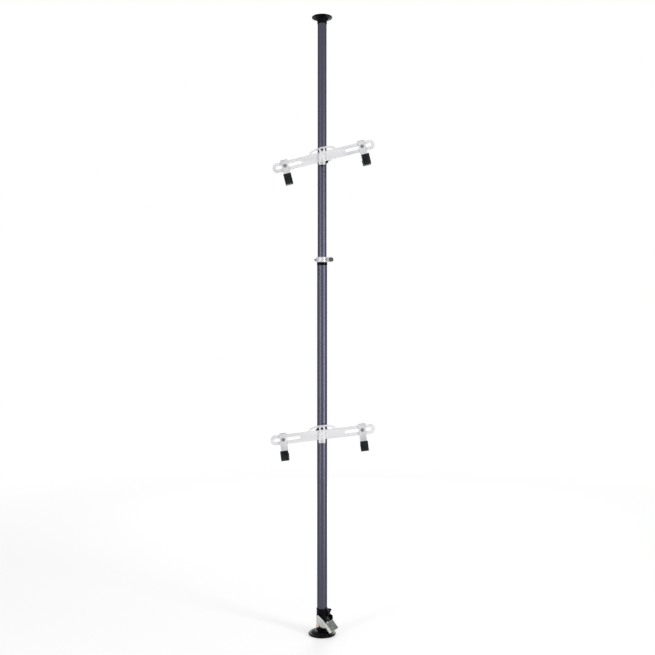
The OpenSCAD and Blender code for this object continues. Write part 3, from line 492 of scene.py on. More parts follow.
# clamp_alloy, bar_alloy and hook_steel get edges darker than their faces: painted shade lines along every edge,
# standing in for dark surroundings reflected there.
metal("clamp_alloy", (0.47, 0.47, 0.49), (0.6, 0.6, 0.62), (0.32, 0.46), 1000, (1, 1, 0.1), edge=0.5,
      metallic=0.45)
metal("bar_alloy", (0.68, 0.68, 0.695), (0.79, 0.79, 0.805), (0.46, 0.6), 1500, (0.04, 1, 1), edge=0.36,
      edge_share=0.85, metallic=0.1)
metal("hook_steel", (0.6, 0.6, 0.62), (0.72, 0.72, 0.74), (0.4, 0.54), 1300, (1, 1, 0.08), edge=0.34,
      edge_share=0.85, metallic=0.2)

# Pieces that look like another slot of the record than their CAD node's
LOOK = {"housing_bolt": "black_enamel", "collar_screw": "black_enamel", "pedal_pin": "pedal_steel",
        "ceiling_pad": "black_plastic"}
LOOK.update({node: "tread_steel" for node in SLOT if "_hook_screw_" in node})


def paint(mesh, slot):
    """Gives all of a mesh one finish."""
    mesh.materials.clear()
    mesh.materials.append(FINISH[slot])
    for polygon in mesh.polygons:
        polygon.material_index = 0


def dress(node, mesh):
    """Shows a made solid in place of a CAD node, with that node's body and finish."""
    slot = LOOK.get(node, SLOT[node])
    mesh.name = node + "_fine"
    paint(mesh, slot)
    mesh.shade_smooth()
    mesh.set_sharp_from_angle(angle=SHARP)
    made = shown(mesh.name, mesh)
    made.modifiers.new("weighted_normals", "WEIGHTED_NORMAL").keep_sharp = True
    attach(made, BODY[node])
    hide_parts(node)


def keep(node):
    """Shows a CAD node whose shape is right, with its finish."""
    obj = frame["nodes"][node]
    paint(obj.data, SLOT[node])


# Fasteners, drawn along +Z from the face they sit on

def socket_head(radius, height, soft, socket, depth, place):
    """A round head with a hexagon socket."""
    return turned([
        (0, 0), (radius, 0, soft / 2), (radius, height, soft),
        (socket * 1.18, height), (socket, height - socket * 0.12, 0, hexagon),
        (socket, height - depth, 0, hexagon), (0, height - depth * 1.15),
    ], place, BOLT_SEGMENTS)


def hex_nut(radius, height, bore, place):
    """A hexagon nut with chamfered corners round a bolt's end."""
    chamfer = radius * 0.12
    crown = radius * 1.09
    return revolve([
        (0, 0), (crown, 0), (radius, chamfer, hexagon), (radius, height - chamfer, hexagon),
        (crown, height), (bore * 1.1, height), (bore, height - bore * 0.1), (bore, height / 2),
        (0, height / 2),
    ], place, segments=BOLT_SEGMENTS)


# Camera: level, in front of the pole, at the photograph's frame

IMAGE = 655
METRES_PER_PIXEL = 0.004276
CAMERA = Vector((0.0231, -3.9, 1.3116))
SENSOR_MM = 36


def add_camera():
    data = bpy.data.cameras.new("camera")
    data.sensor_width = SENSOR_MM
    data.lens = SENSOR_MM * -CAMERA.y / (IMAGE * METRES_PER_PIXEL)
    camera = shown("camera", data)
    camera.location = CAMERA
    camera.rotation_euler = (radians(90), 0, 0)
    bpy.context.scene.camera = camera


# Studio: white surroundings, a pale floor and three soft boxes

AMBIENT = 0.42
FLOOR_GLOW = 0.42
FLOOR_COLOUR = (0.8, 0.8, 0.8, 1)
POLE_MIDDLE = cad_box[1].z / 2


def seen(graph):
    """1 on the rays that look at the background, 0 on those that gather light."""
    path = graph.node("LightPath")
    total = path.outputs["Is Camera Ray"]
    for ray in ("Is Glossy Ray", "Is Transmission Ray"):
        total = graph.node("Math", {0: total, 1: path.outputs[ray]}, operation="MAXIMUM").outputs[0]
    return total


def add_world():
    world = bpy.data.worlds.new("studio")
    world.use_nodes = True
    graph = Graph(world.node_tree)
    strength = graph.ranged(seen(graph), 0, 1, AMBIENT, 1)
    graph.feed(graph.tree.nodes["Background"], {"Color": (1, 1, 1, 1), "Strength": strength})
    bpy.context.scene.world = world


def add_floor(radius, fade_from):
    """A pale round floor that fades into the white surroundings, and keeps the object's shadow."""
    material = bpy.data.materials.new("floor")
    material.use_nodes = True
    graph = Graph(material.node_tree)
    graph.tree.nodes.clear()
    diffuse = graph.node("BsdfDiffuse", {"Color": FLOOR_COLOUR})
    lift = graph.node("Math", {0: seen(graph), 1: FLOOR_GLOW}, operation="MULTIPLY")
    glow = graph.node("Emission", {"Strength": lift.outputs[0]})
    lit = graph.node("AddShader", {0: diffuse.outputs[0], 1: glow.outputs[0]})
    white = graph.node("Emission")
    place = {0: graph.node("TexCoord").outputs["Object"]}
    length = graph.node("VectorMath", place, operation="LENGTH").outputs["Value"]
    fade = graph.ranged(length, fade_from, radius * 0.8, 0, 1, interpolation_type="SMOOTHSTEP")
    mix = graph.node("MixShader", {0: fade, 1: lit.outputs[0], 2: white.outputs[0]})
    graph.node("OutputMaterial", {"Surface": mix.outputs[0]})
    mesh = revolve([(0, 0), (fade_from, 0), (radius, 0)])
    mesh.materials.append(material)
    floor = shown("floor", mesh)


def add_softbox(name, azimuth, distance, height, size, watts):
    """An upright lamp, azimuth degrees to the right of the camera, facing the middle of the pole."""
    data = bpy.data.lights.new(name, "AREA")
    data.shape = "RECTANGLE"
    data.size, data.size_y = size
    data.energy = watts
    lamp = shown(name, data)
    angle = radians(azimuth)
    lamp.location = (distance * sin(angle), -distance * cos(angle), height)
    aim = Vector((0, 0, POLE_MIDDLE)) - lamp.location
    lamp.rotation_euler = aim.to_track_quat("-Z", "Y").to_euler()


add_camera()
add_world()
add_floor(radius=6, fade_from=0.9)
add_softbox("key", 50, 3.6, 1.3, (0.8, 2.6), 66)
add_softbox("fill", -42, 4.0, 1.3, (0.8, 2.6), 44)
add_softbox("rear", 172, 3.8, 2.0, (1.6, 2.8), 58)


# Pole: the two tubes and what sits in their ends

tube_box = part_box("lower_tube")
LOWER_R = tube_box[1].x
TUBE_FOOT = tube_box[0].z
TUBE_TOP = tube_box[1].z
LOWER_WALL = 0.0015
UPPER_WALL = 0.0018
upper_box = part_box("upper_tube")
UPPER_R = upper_box[1].x
# Room between a round piece and the bore that it sits in
FIT = 0.0001

SLIT_DIR = 230
SLIT_W = 0.003
SLIT_LEN = 0.048
RELIEF_R = 0.00325
PEG_R = 0.0025
PEG_DROP = 0.02
TUBE_CHAMFER = 0.0004
# Distances from the axis of the cuts in the tube's wall
WALL_CUT = (0.005, 0.03)


def tube_profile(outer, wall, low, high):
    inner = outer - wall
    c = TUBE_CHAMFER
    return [(inner, low + c), (inner + c, low), (outer - c, low), (outer, low + c),
            (outer, high - c), (outer - c, high), (inner + c, high), (inner, high - c)]


def make_tubes():
    radial = turn(SLIT_DIR, "Z")
    relief = TUBE_TOP - SLIT_LEN
    slit = plate(rectangle(-SLIT_W / 2, relief, SLIT_W / 2, TUBE_TOP + CLEAR), *WALL_CUT,
                 radial @ turn(90, "Z") @ FRONT @ turn(180, "Y"))
    drills = [drill(radius, *WALL_CUT, radial @ shift(z=z) @ turn(90, "Y"), FEW_SEGMENTS)
              for radius, z in ((RELIEF_R, relief), (PEG_R, relief - PEG_DROP))]
    lower = revolve(tube_profile(LOWER_R, LOWER_WALL, TUBE_FOOT, TUBE_TOP), closed=True)
    dress("lower_tube", cut(lower, slit, *drills))
    upper = tube_profile(UPPER_R, UPPER_WALL, upper_box[0].z, upper_box[1].z)
    dress("upper_tube", revolve(upper, closed=True))


make_tubes()
for hidden in ("tube_bush", "upper_tube_bush", "ceiling_plug"):
    keep(hidden)


# Ceiling pad: flat top, round rim, flared neck with a bead round the tube

def make_ceiling_pad():
    low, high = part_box("ceiling_pad")
    reach = high.x
    foot, top = low.z, high.z
    rim = 0.007
    rim_r = 0.0034
    neck = 0.02075
    neck_top = foot + 0.009
    shoulder = reach - 0.003
    bore = UPPER_R + FIT
    tube_top = upper_box[1].z
    flare = [(shoulder + (neck - shoulder) * sin(a), neck_top + (top - rim - neck_top) * cos(a))
             for a in QUARTER]
    dress("ceiling_pad", turned([
        (0, top), (reach - 0.01, top, 0.001), (reach - 0.0095, top - 0.0006, 0.0005),
        (reach - 0.0085, top, 0.0006), (reach, top, rim_r), (reach, top - rim, rim_r), *flare,
        (neck, foot + 0.0085, 0.001), (neck, foot + 0.0042, 0.0008), (neck - 0.0008, foot + 0.0036, 0.0004),
        (neck, foot + 0.003, 0.0008), (neck, foot, 0.0009), (bore, foot, 0.0006), (bore, tube_top),
        (0, tube_top + 0.003),
    ], segments=128))


make_ceiling_pad()


# Floor pad, with the steel plate and lug on it

UP = Vector((0, 0, 1))
ACROSS = -Vector(JOINTS["pedal_hinge"]["axis"]).normalized()
OUT = ACROSS.cross(UP)
# The pedal's own frame: X out along the pedal, Y across it
PEDAL = Matrix((OUT, ACROSS, UP)).transposed().to_4x4()
PIN_1 = sum(box_in("foot_pin", PEDAL), Vector()) / 2
PIN_2 = sum(box_in("pedal_pin", PEDAL), Vector()) / 2
PIN_R = 0.004
# Drawn as [out along the pedal, up], with the thickness across it
PEDAL_SIDE = PEDAL @ FRONT


def cross_axis(centre):
    """Frame whose Z runs across the pedal through a pin's centre."""
    return PEDAL @ shift(centre.x, 0, centre.z) @ turn(-90, "X")


def make_floor_pad():
    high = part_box("floor_pad")[1]
    reach = high.x
    top = high.z
    rim = 0.011
    rim_r = 0.0052
    groove = rim - 0.002
    ring = reach - 0.009
    top_r = 0.027
    dome = [(top_r + (ring - top_r) * cos(a), groove + (top - groove) * sin(a)) for a in QUARTER]
    dress("floor_pad", turned([
        (0, 0.0022), (0.03, 0.0022, 0.001), (0.032, 0, 0.001), (reach - 0.012, 0, 0.0006),
        (reach - 0.0115, 0.0016, 0.0005), (reach - 0.0085, 0.0016, 0.0005), (reach - 0.008, 0, 0.0006),
        (reach, 0, rim_r), (reach, rim, rim_r), (ring + 0.0012, rim, 0.0014),
        (ring + 0.0004, groove, 0.0008), *dome,
        (top_r + 0.0035, top, 0.0004), (top_r + 0.003, top - 0.0007, 0.0003),
        (top_r + 0.0012, top - 0.0007, 0.0003), (top_r + 0.0008, top, 0.0003), (0, top),
    ], segments=144))


def make_foot_plate():
    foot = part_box("floor_pad")[1].z
    top = foot + 0.003
    disc_r = 0.0265
    lug_r = 0.008
    stem_half = 0.024
    weld_half = 0.0108
    reach = box_in("foot_plate", PEDAL)[1].y
    disc = turned([(0, foot), (disc_r, foot, 0.0004), (disc_r, top, 0.0008), (0, top)], PEDAL)
    u, z = PIN_1.x, PIN_1.z

    def lug(start, radius):
        return [(u - radius, start), (u + radius, start)] + arc((u, z), radius, 0, 180)

    stem = plate(lug(foot + 0.001, lug_r - 0.0002), -stem_half, stem_half, PEDAL_SIDE, soft=0.0008)
    head = plate(lug(top + 0.004, lug_r), -reach, reach, PEDAL_SIDE, soft=0.0008)
    weld = revolve([(0, top - 0.0006), (0.021, top - 0.0006), (0.021, top + 0.0001), (0.0185, top + 0.0022),
                    (0, top + 0.0022)])
    strip = plate(rectangle(u - weld_half, 0, u + weld_half, 0.06), -0.03, 0.03, PEDAL_SIDE)
    dress("foot_plate", fused(disc, stem, head, combined(weld, [strip], "INTERSECT")))


def make_foot_pin():
    low, high = box_in("foot_pin", PEDAL)
    head_r = (high.z - low.z) / 2
    end = high.y
    back = end - 0.005
    half = [(0, end - 0.0026), (PIN_R * 0.55, end - 0.0022), (PIN_R * 0.66, end - 0.0008),
            (PIN_R * 0.8, end), (head_r - 0.0012, end), (head_r - 0.0003, end - 0.0005),
            (head_r, end - 0.0014), (head_r, back + 0.0004), (head_r - 0.0004, back), (PIN_R, back)]
    dress("foot_pin", revolve(both_ends(half), cross_axis(PIN_1), segments=64))


make_floor_pad()
make_foot_plate()
make_foot_pin()


# Pedal: one sheet of steel bent to a channel, a ridged tread, a black insert and its pins

PEDAL_T = 0.003
BEND_R = 0.007
BEND_STEPS = 7
TREAD_TOP = Vector((0.034, 0.06))
TREAD_SLOPE = radians(49.7)
TREAD_LEN = 0.0433
HEEL = 0.014
SKIRT = 0.01
TREAD_DIR = Vector((cos(TREAD_SLOPE), -sin(TREAD_SLOPE)))
TREAD_OUT = Vector((sin(TREAD_SLOPE), cos(TREAD_SLOPE)))
CHEEK = box_in("pedal_lever", PEDAL)[1].y
BEND_AT = CHEEK - BEND_R
BEND_LEN = BEND_R * pi / 2
# Frame of the tread: X down the slope, Y across, Z out of it
TREAD = PEDAL @ Matrix(((TREAD_DIR.x, 0, TREAD_OUT.x, TREAD_TOP.x), (0, 1, 0, 0),
                        (TREAD_DIR.y, 0, TREAD_OUT.y, TREAD_TOP.y), (0, 0, 0, 1)))


def unrolled(u, z):
    """Where a point of a cheek, [out, up], lies on the flat sheet, as [down the slope, across]."""
    point = Vector((u, z)) - TREAD_TOP
    depth = -point.dot(TREAD_OUT)
    if depth >= BEND_R:
        across = BEND_AT + BEND_LEN + depth - BEND_R
    else:
        across = BEND_AT + BEND_R * acos(max(-1, min(1, 1 - depth / BEND_R)))
    return point.dot(TREAD_DIR), across


def bent(x, y, h):
    """Where a point of the flat sheet goes as the cheeks are bent down; h is its height, 0 on the outside."""
    side = 1 if y > 0 else -1
    y = abs(y)
    if y <= BEND_AT:
        return x, side * y, h
    if y >= BEND_AT + BEND_LEN:
        return x, side * (CHEEK + h), -BEND_R - (y - BEND_AT - BEND_LEN)
    angle = (y - BEND_AT) / BEND_R
    radius = BEND_R + h
    return x, side * (BEND_AT + radius * sin(angle)), -BEND_R + radius * cos(angle)


def make_pedal_lever():
    nose_r = 0.0075
    lower = PIN_1.x, PIN_1.z
    upper = PIN_2.x, PIN_2.z
    foot = TREAD_TOP + TREAD_LEN * TREAD_DIR - SKIRT * TREAD_OUT
    heel = TREAD_TOP + HEEL * TREAD_DIR - SKIRT * TREAD_OUT
    nose = [(-0.0015, 0.01, 0.002), (-0.004, 0.009, 0.003), (-0.0065, 0.0065, 0.003),
            (-0.008, 0.003, 0.003)]
    cheek = [(upper[0] + a, upper[1] + b, r) for a, b, r in nose]
    cheek += [(x, z, 0) for x, z in arc(lower, nose_r, 160, 340)]
    cheek += [(lower[0] + 0.013, lower[1] - 0.005, 0.004), (TREAD_TOP.x - 0.009, lower[1] - 0.009, 0.004),
              (*heel, 0.004), (*foot, 0.0035)]
    right = [(*unrolled(x, z), r) for x, z, r in cheek]
    right = [(0, BEND_AT - 0.001, 0.002)] + right + [(TREAD_LEN, BEND_AT + BEND_LEN * 0.8, 0)]
    left = [(x, -y, r) for x, y, r in reversed(right)]
    holes = []
    for centre in (lower, upper):
        x, y = unrolled(*centre)
        holes += [circle((x, side * y), PIN_R) for side in (1, -1)]
    sheet = slab(rounded(right + left), holes, -PEDAL_T, 0, 0.0007)
    folds = [(0, side * (BEND_AT + BEND_LEN * k / BEND_STEPS), 0)
             for k in range(BEND_STEPS + 1) for side in (1, -1)]
    dress("pedal_lever", folded(sheet, folds, (0, 1, 0), bent, TREAD))


def make_pedal_tread():
    margin = 0.0025
    sheet = 0.0011
    rise = 0.0022
    ridges = 9
    ridge_w = 0.0034
    flank = 0.0003
    half = BEND_AT - 0.0003
    pitch = (2 * half - ridge_w) / (ridges - 1)
    top = []
    for i in range(ridges):
        left = -half + i * pitch
        right = left + ridge_w
        top += [(left, sheet, 0.0003), (left + flank, rise, 0.0005), (right - flank, rise, 0.0005),
                (right, sheet, 0.0003)]
    outline = rounded([(-half, 0), *top, (half, 0)])
    down = TREAD @ Matrix(((0, 0, 1, 0), (1, 0, 0, 0), (0, 1, 0, 0), (0, 0, 0, 1)))
    dress("pedal_tread", plate(outline, margin, TREAD_LEN - margin, down, soft=0.0002))


def make_pedal_pins():
    low, high = box_in("pedal_pin", PEDAL)
    head_r = (high.z - low.z) / 2
    half = [(0, high.y), (head_r * 0.55, high.y - 0.0001), (head_r * 0.82, high.y - 0.0004),
            (head_r, high.y - 0.001), (head_r, CHEEK), (PIN_R, CHEEK)]
    dress("pedal_pin", revolve(both_ends(half), cross_axis(PIN_2), segments=BOLT_SEGMENTS))

    low, high = box_in("release_knob", PEDAL)
    axis = cross_axis((low + high) / 2)
    stem_r = 0.002
    knob_r = (high.z - low.z) / 2
    grip = fluted(16, 0.0004)
    washer_low, washer_high = box_in("knob_washer", PEDAL)
    face = washer_high.y
    dress("release_knob", revolve([
        (0, high.y - 0.0006), (knob_r * 0.45, high.y - 0.0004), (knob_r * 0.72, high.y),
        (knob_r - 0.0006, high.y - 0.0003, grip), (knob_r, high.y - 0.0012, grip),
        (knob_r, face + 0.0008, grip), (knob_r - 0.0005, face), (stem_r, face), (stem_r, low.y), (0, low.y),
    ], axis, segments=128))
    washer_r = (washer_high.z - washer_low.z) / 2
    washer = rounded([(stem_r, washer_low.y), (washer_r, washer_low.y, 0.0003), (washer_r, face, 0.0005),
                      (stem_r, face, 0.0003)])
    dress("knob_washer", revolve(washer, axis, closed=True, segments=64))


make_pedal_lever()
make_pedal_tread()
make_pedal_pins()
keep("pedal_block")


# Housing at the foot of the lower tube

def make_housing():
    low, high = box_in("base_housing", PEDAL)
    outer = 0.0242
    waist = outer - 0.0006
    foot = low.z
    top = 0.1135
    spigot_r = LOWER_R - LOWER_WALL
    seat_r = LOWER_R + FIT
    collar = top - 0.004
    half_ear = 0.009
    half_gap = 0.0015
    boss_r = 0.009
    reach = high.y
    sleeve = turned([
        (0, foot), (outer, foot, 0.0012), (outer, foot + 0.014, 0.0006), (waist, foot + 0.0146, 0.0005),
        (waist, collar - 0.0006, 0.0005), (outer, collar, 0.0006), (outer, top, 0.0012),
        (seat_r, top, 0.0006), (seat_r, TUBE_FOOT), (spigot_r, TUBE_FOOT), (spigot_r, high.z, 0.0008),
        (0, high.z)])
    u, z = PIN_2.x, PIN_2.z
    ear = rounded([
        (u + 0.0205, z + 0.003), (u + 0.0285, z + 0.003, 0.003), (u + 0.0335, z + 0.007, 0.003),
        (u + 0.0353, z + 0.014, 0.003), (u + 0.038, z + 0.022, 0.004), (u + 0.0375, z + 0.028, 0.003),
        (u + 0.031, top, 0.002), (u + 0.0205, top)])
    ears = [plate(ear, inside, outside, PEDAL_SIDE, soft=0.0007)
            for inside, outside in ((-half_ear, -half_gap), (half_gap, half_ear))]
    across = cross_axis(PIN_2)
    boss = drum(boss_r, -reach, reach, 0.0008, across)
    bore = revolve(rectangle(spigot_r, TUBE_FOOT, LOWER_R, top + CLEAR), closed=True)
    body = fused(sleeve, *ears, boss)
    dress("base_housing", cut(body, bore, drill(PIN_R + FIT, -0.05, 0.05, across)))

    low, high = box_in("housing_bolt", PEDAL)
    axis = cross_axis((low + high) / 2)
    head = socket_head(0.005, 0.005, 0.0008, 0.0024, 0.0022, axis @ shift(z=-half_ear) @ turn(180, "X"))
    nut = hex_nut(0.0044, 0.004, 0.003, axis @ shift(z=half_ear))
    shank = pin(0.003, -half_ear - 0.001, half_ear + 0.004, 0.0005, axis, FEW_SEGMENTS)
    dress("housing_bolt", joined(head, shank, nut))


make_housing()


# Quick-release clamp at the top of the lower tube

COLLAR_SEAT = 0.016
SKEWER_HOLE_R = 0.0031
LEVER_PIN_R = 0.0025


def make_clamp():
    low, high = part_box("qr_collar")
    foot, top = low.z, high.z
    outer = 0.0255
    waist = outer - 0.0004
    mid = (foot + top) / 2
    seat = foot + COLLAR_SEAT
    skewer = JOINTS["clamp_lever"]["pos_m"][0]
    half_ear = 0.014
    ear_r = 0.01
    ear_root = 0.018
    gap = 0.002
    ring = revolve(rounded([
        (LOWER_R - FIT, foot, 0.0005), (waist, foot, 0.0008), (waist, foot + 0.003, 0.0004),
        (outer, foot + 0.0036, 0.0006), (outer, top - 0.0036, 0.0006), (waist, top - 0.003, 0.0004),
        (waist, top, 0.0012), (UPPER_R + FIT, top, 0.0006), (UPPER_R + FIT, seat - 0.0005),
        (LOWER_R - FIT, seat - 0.0005)]), closed=True)
    ear = [(ear_root, mid - ear_r), *arc((skewer, mid), ear_r, -90, 90), (ear_root, mid + ear_r)]
    ears = plate(ear, -half_ear, half_ear, FRONT, [circle((skewer, mid), SKEWER_HOLE_R)], soft=0.0011)
    bore = revolve([(0, foot - CLEAR), (LOWER_R, foot - CLEAR), (LOWER_R, seat), (UPPER_R + 2 * FIT, seat),
                    (UPPER_R + 2 * FIT, top + CLEAR), (0, top + CLEAR)])
    slot = plate(rectangle(0, -gap, 0.06, gap), foot - CLEAR, top + CLEAR)
    low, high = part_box("collar_screw")
    centre = (low + high) / 2
    radial = turn(degrees(atan2(centre.y, centre.x)), "Z") @ shift(z=mid) @ turn(90, "Y")
    screw_r = 0.00325
    hole = drill(screw_r, LOWER_R - 0.001, 0.05, radial, segments=40)
    dress("qr_collar", cut(fused(ring, ears), bore, slot, hole))
    dress("collar_screw", socket_head(screw_r - FIT / 2, outer - LOWER_R - 0.0008, 0.0004, 0.0017, 0.002,
                                      radial @ shift(z=LOWER_R)))

    low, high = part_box("collar_ring")
    foot, inner, outer = low.z, LOWER_R + FIT / 2, high.x
    groove = outer - 0.0003
    dress("collar_ring", revolve(rounded([
        (inner, foot), (outer, foot, 0.0003), (outer, foot + 0.003, 0.0002), (groove, foot + 0.0033),
        (groove, foot + 0.0041), (outer, foot + 0.0044, 0.0002), (outer, high.z, 0.0003),
        (inner, high.z)]), closed=True))

    low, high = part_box("qr_nut")
    nut_r = (high.z - low.z) / 2
    height = high.y - low.y
    knurl = fluted(24, 0.0007)
    profile = [(0, 0), (nut_r - 0.0006, 0), (nut_r, 0.0006, knurl), (nut_r, height - 0.0026, knurl),
               (nut_r - 0.0006, height - 0.0014, knurl), (nut_r - 0.0018, height - 0.0003),
               (nut_r - 0.0026, height), (nut_r * 0.56, height), (nut_r * 0.5, height - 0.0004),
               (nut_r * 0.46, height - 0.0016), (nut_r * 0.3, height - 0.002),
               (nut_r * 0.26, height - 0.0009), (nut_r * 0.2, height - 0.0006), (0, height - 0.0005)]
    dress("qr_nut", revolve(profile, shift(skewer, -half_ear, mid) @ FRONT, segments=192))
    keep("qr_skewer")


def make_lever():
    hinge_x, hinge_y, mid = JOINTS["clamp_lever"]["pos_m"]
    low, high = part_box("qr_lever")
    axis = shift(hinge_x, hinge_y)
    head_r = 0.008
    eye_r = 0.0053
    inner = 0.03
    thick = 0.0045
    outer = inner + thick
    end = 168
    arm_half = 0.006
    slot_half = 0.0043
    reach = hypot(hinge_x, hinge_y)
    start = degrees(atan2(hinge_y, hinge_x) + acos((outer - head_r) / reach))
    out = heading(start)
    head = Vector((hinge_x, hinge_y))
    tip = heading(end) * (inner + thick / 2)
    arm = [tuple(head + (head_r - thick) * out), tuple(head + head_r * out)]
    arm += arc((0, 0), outer, start, end)
    arm += arc(tip, thick / 2, end, end + 180)[1:-1]
    arm += arc((0, 0), inner, end, start)
    band = plate(arm, mid - arm_half, mid + arm_half, soft=0.0012)
    barrel = drum(head_r, low.z, high.z, 0.0012, axis)
    eye = drill(eye_r, mid - slot_half, mid + slot_half, axis, segments=64)
    # Room that the skewer's end sweeps through as the lever opens
    swept = 0.0033
    far = heading(30)
    side = Vector((-far.y, far.x))
    room = [(-swept, 0), (-swept, -2 * head_r), (2 * head_r, -2 * head_r),
            tuple(swept * side + 2 * head_r * far), tuple(swept * side)]
    slot = plate(room, mid - slot_half, mid + slot_half, axis)
    bore = drill(LEVER_PIN_R, low.z - CLEAR, high.z + CLEAR, axis)
    dress("qr_lever", cut(fused(band, barrel), eye, slot, bore))
    low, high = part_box("qr_pin")
    dress("qr_pin", pin(LEVER_PIN_R, low.z, high.z, 0.0004, axis))


make_clamp()
make_lever()


# Mounts: a liner and a two-part clamp on the pole, a tilting bar behind a strap, and two hooks

LINER_R = 0.0235
CLAMP_BORE = LINER_R + FIT / 2
CLAMP_R = 0.0275
# Half of the gap between the clamp's halves, and how far its ears reach
HALF_GAP = 0.001
EAR_FACE = 0.009
PIVOT_R = 0.004
SMALL_BOLT_R = 0.003
SMALL_BOLT_X = 0.033
STRAP_BOLT_Z = -0.056
SPACER_R = 0.005
# Seats of the two bolts' heads in the strap
SEAT_R = 0.0055
SEAT_DEPTH = 0.0007


def make_liner(name, tube_r):
    node = name + "_liner"
    low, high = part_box(node)
    flange = 0.0016
    reach = high.x
    bore = tube_r + FIT / 2
    dress(node, revolve(rounded([
        (bore, low.z, 0.0004), (reach, low.z, 0.0006), (reach, low.z + flange, 0.0006),
        (LINER_R, low.z + flange, 0.0002), (LINER_R, high.z - flange, 0.0002),
        (reach, high.z - flange, 0.0006), (reach, high.z, 0.0006), (bore, high.z, 0.0004)]), closed=True))


def half_ring(low, high, side):
    """Half of the clamp's barrel with two shallow grooves; side is -1 in front and 1 behind."""
    gap_angle = degrees(asin(HALF_GAP / CLAMP_BORE))
    groove = CLAMP_R - 0.0005
    profile = [(CLAMP_BORE, low, 0.0005), (CLAMP_R, low, 0.0012)]
    for k in (1, 2):
        z = low + k * (high - low) / 3
        profile += [(CLAMP_R, z - 0.0013, 0.0004), (groove, z - 0.0008, 0.0003),
                    (groove, z + 0.0008, 0.0003), (CLAMP_R, z + 0.0013, 0.0004)]
    profile += [(CLAMP_R, high, 0.0012), (CLAMP_BORE, high, 0.0005)]
    start = gap_angle if side > 0 else 180 + gap_angle
    return revolve(rounded(profile), closed=True, start=start, end=start + 180 - 2 * gap_angle, segments=60)


def clamp_ears(mid, side):
    """Two ears with rounded ends, joined to the barrel."""
    reach = SMALL_BOLT_X + 0.006
    half_h = 0.009
    near, near_root = side * HALF_GAP, 0.0238
    far, far_root = side * EAR_FACE, 0.0245
    outlines = [rounded([(hand * near_root, near), (hand * reach, near, 0.0006), (hand * reach, far, 0.003),
                         (hand * far_root, far)]) for hand in (-1, 1)]
    return [plate(outline, mid - half_h, mid + half_h, soft=0.0009) for outline in outlines]


def make_pole_clamp(name, pivot):
    front = name + "_clamp_front"
    low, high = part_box(name + "_clamp_rear")
    z_low, z_high = low.z, high.z
    mid = (z_low + z_high) / 2
    place = shift(z=pivot)
    plate_front = 0.0327
    plate_back = 0.0265
    half = 0.0125
    corner = 0.003
    foot = box_in(front, place)[0].z + corner
    outline = arc((corner - half, foot), corner, 180, 270) + arc((half - corner, foot), corner, 270, 360)
    outline += [(half, -0.004), *arc((0, 0), half - 0.001, 0, 180), (-half, -0.004)]
    face = plate(outline, plate_back, plate_front, place @ FRONT, soft=0.0009)
    root = plate_front - 0.001
    tip = -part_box(front)[0].y
    spacer = turned([(0, root), (SPACER_R, root), (SPACER_R, tip, 0.0003), (0, tip)],
                    place @ shift(z=STRAP_BOLT_Z) @ FRONT, BOLT_SEGMENTS)
    bore = revolve(rectangle(0, z_low - CLEAR, CLAMP_BORE, z_high + CLEAR))
    body = fused(half_ring(z_low, z_high, -1), *clamp_ears(mid, -1), face, spacer)
    dress(front, cut(body, bore))
    dress(name + "_clamp_rear", fused(half_ring(z_low, z_high, 1), *clamp_ears(mid, 1)))

    shells = []
    for x in (-SMALL_BOLT_X, SMALL_BOLT_X):
        axis = shift(x, 0, mid) @ FRONT
        shells.append(socket_head(0.005, 0.004, 0.0009, 0.0023, 0.0021, axis @ shift(z=EAR_FACE)))
        shells.append(hex_nut(0.0048, 0.005, 0.003, axis @ shift(z=-EAR_FACE) @ turn(180, "X")))
        shells.append(pin(SMALL_BOLT_R, -0.015, EAR_FACE + 0.0005, 0.0006, axis, FEW_SEGMENTS))
    dress(name + "_clamp_bolts", joined(*shells))


def make_strap(name, pivot):
    node = name + "_strap"
    place = shift(z=pivot)
    low, high = box_in(node, place)
    back, front = -high.y, -low.y
    half = high.x
    top_r = high.z
    foot = low.z
    waist = 0.018
    crown = 0.0012
    crown_r = (half * half + crown * crown) / (2 * crown)
    columns = 14
    lean = degrees(atan2(half - top_r, waist))
    outline = arc((0, 0), top_r, -lean, 180 + lean)
    outline += rounded([(-half, -waist, 0.004), (-half, foot, 0.003), (half, foot, 0.003),
                        (half, -waist, 0.004)])

    def crowned(x, y, z):
        return x, y, z - (z - back) / (front - back) * x ** 2 / (2 * crown_r)

    folds = [(-half + 2 * half * k / columns, 0, 0) for k in range(1, columns)]
    strap = folded(slab(outline, [], back, front, 0.0012), folds, (1, 0, 0), crowned, place @ FRONT)
    axis = place @ FRONT
    strap_axis = place @ shift(z=STRAP_BOLT_Z) @ FRONT
    seat = front - SEAT_DEPTH
    seats = [drill(SEAT_R, seat, front + CLEAR, at, segments=64) for at in (axis, strap_axis)]
    dress(node, cut(strap, *seats))

    low, high = box_in(name + "_pivot_bolt", place)
    head = socket_head(0.005, -low.y - seat, 0.001, 0.0025, 0.0022, axis @ shift(z=seat))
    shank = pin(PIVOT_R, -high.y, seat + 0.0005, 0.0005, axis)
    nut = hex_nut(0.0055, 0.004, PIVOT_R, axis @ shift(z=-high.y + 0.004) @ turn(180, "X"))
    dress(name + "_pivot_bolt", joined(head, shank, nut))
    low, high = box_in(name + "_strap_bolt", place)
    head = socket_head(0.005, -low.y - seat, 0.001, 0.0022, 0.0018, strap_axis @ shift(z=seat))
    shank = pin(SMALL_BOLT_R, -high.y, seat + 0.0005, 0.0005, strap_axis, FEW_SEGMENTS)
    dress(name + "_strap_bolt", joined(head, shank))


ARCH_H = 0.0205
ARCH_HALF = 0.058
ARCH_BAND = 0.007
# Angles of the arch's back between its fillets
ARCH_ANGLES = range(26, 155, 4)
WINDOW_START = 15
WINDOW_STEPS = 15
SLOT_END = 0.014
SLOT_LEN = 0.114
SLOT_H = 0.0145
STRAP_TOP_R = 0.0127


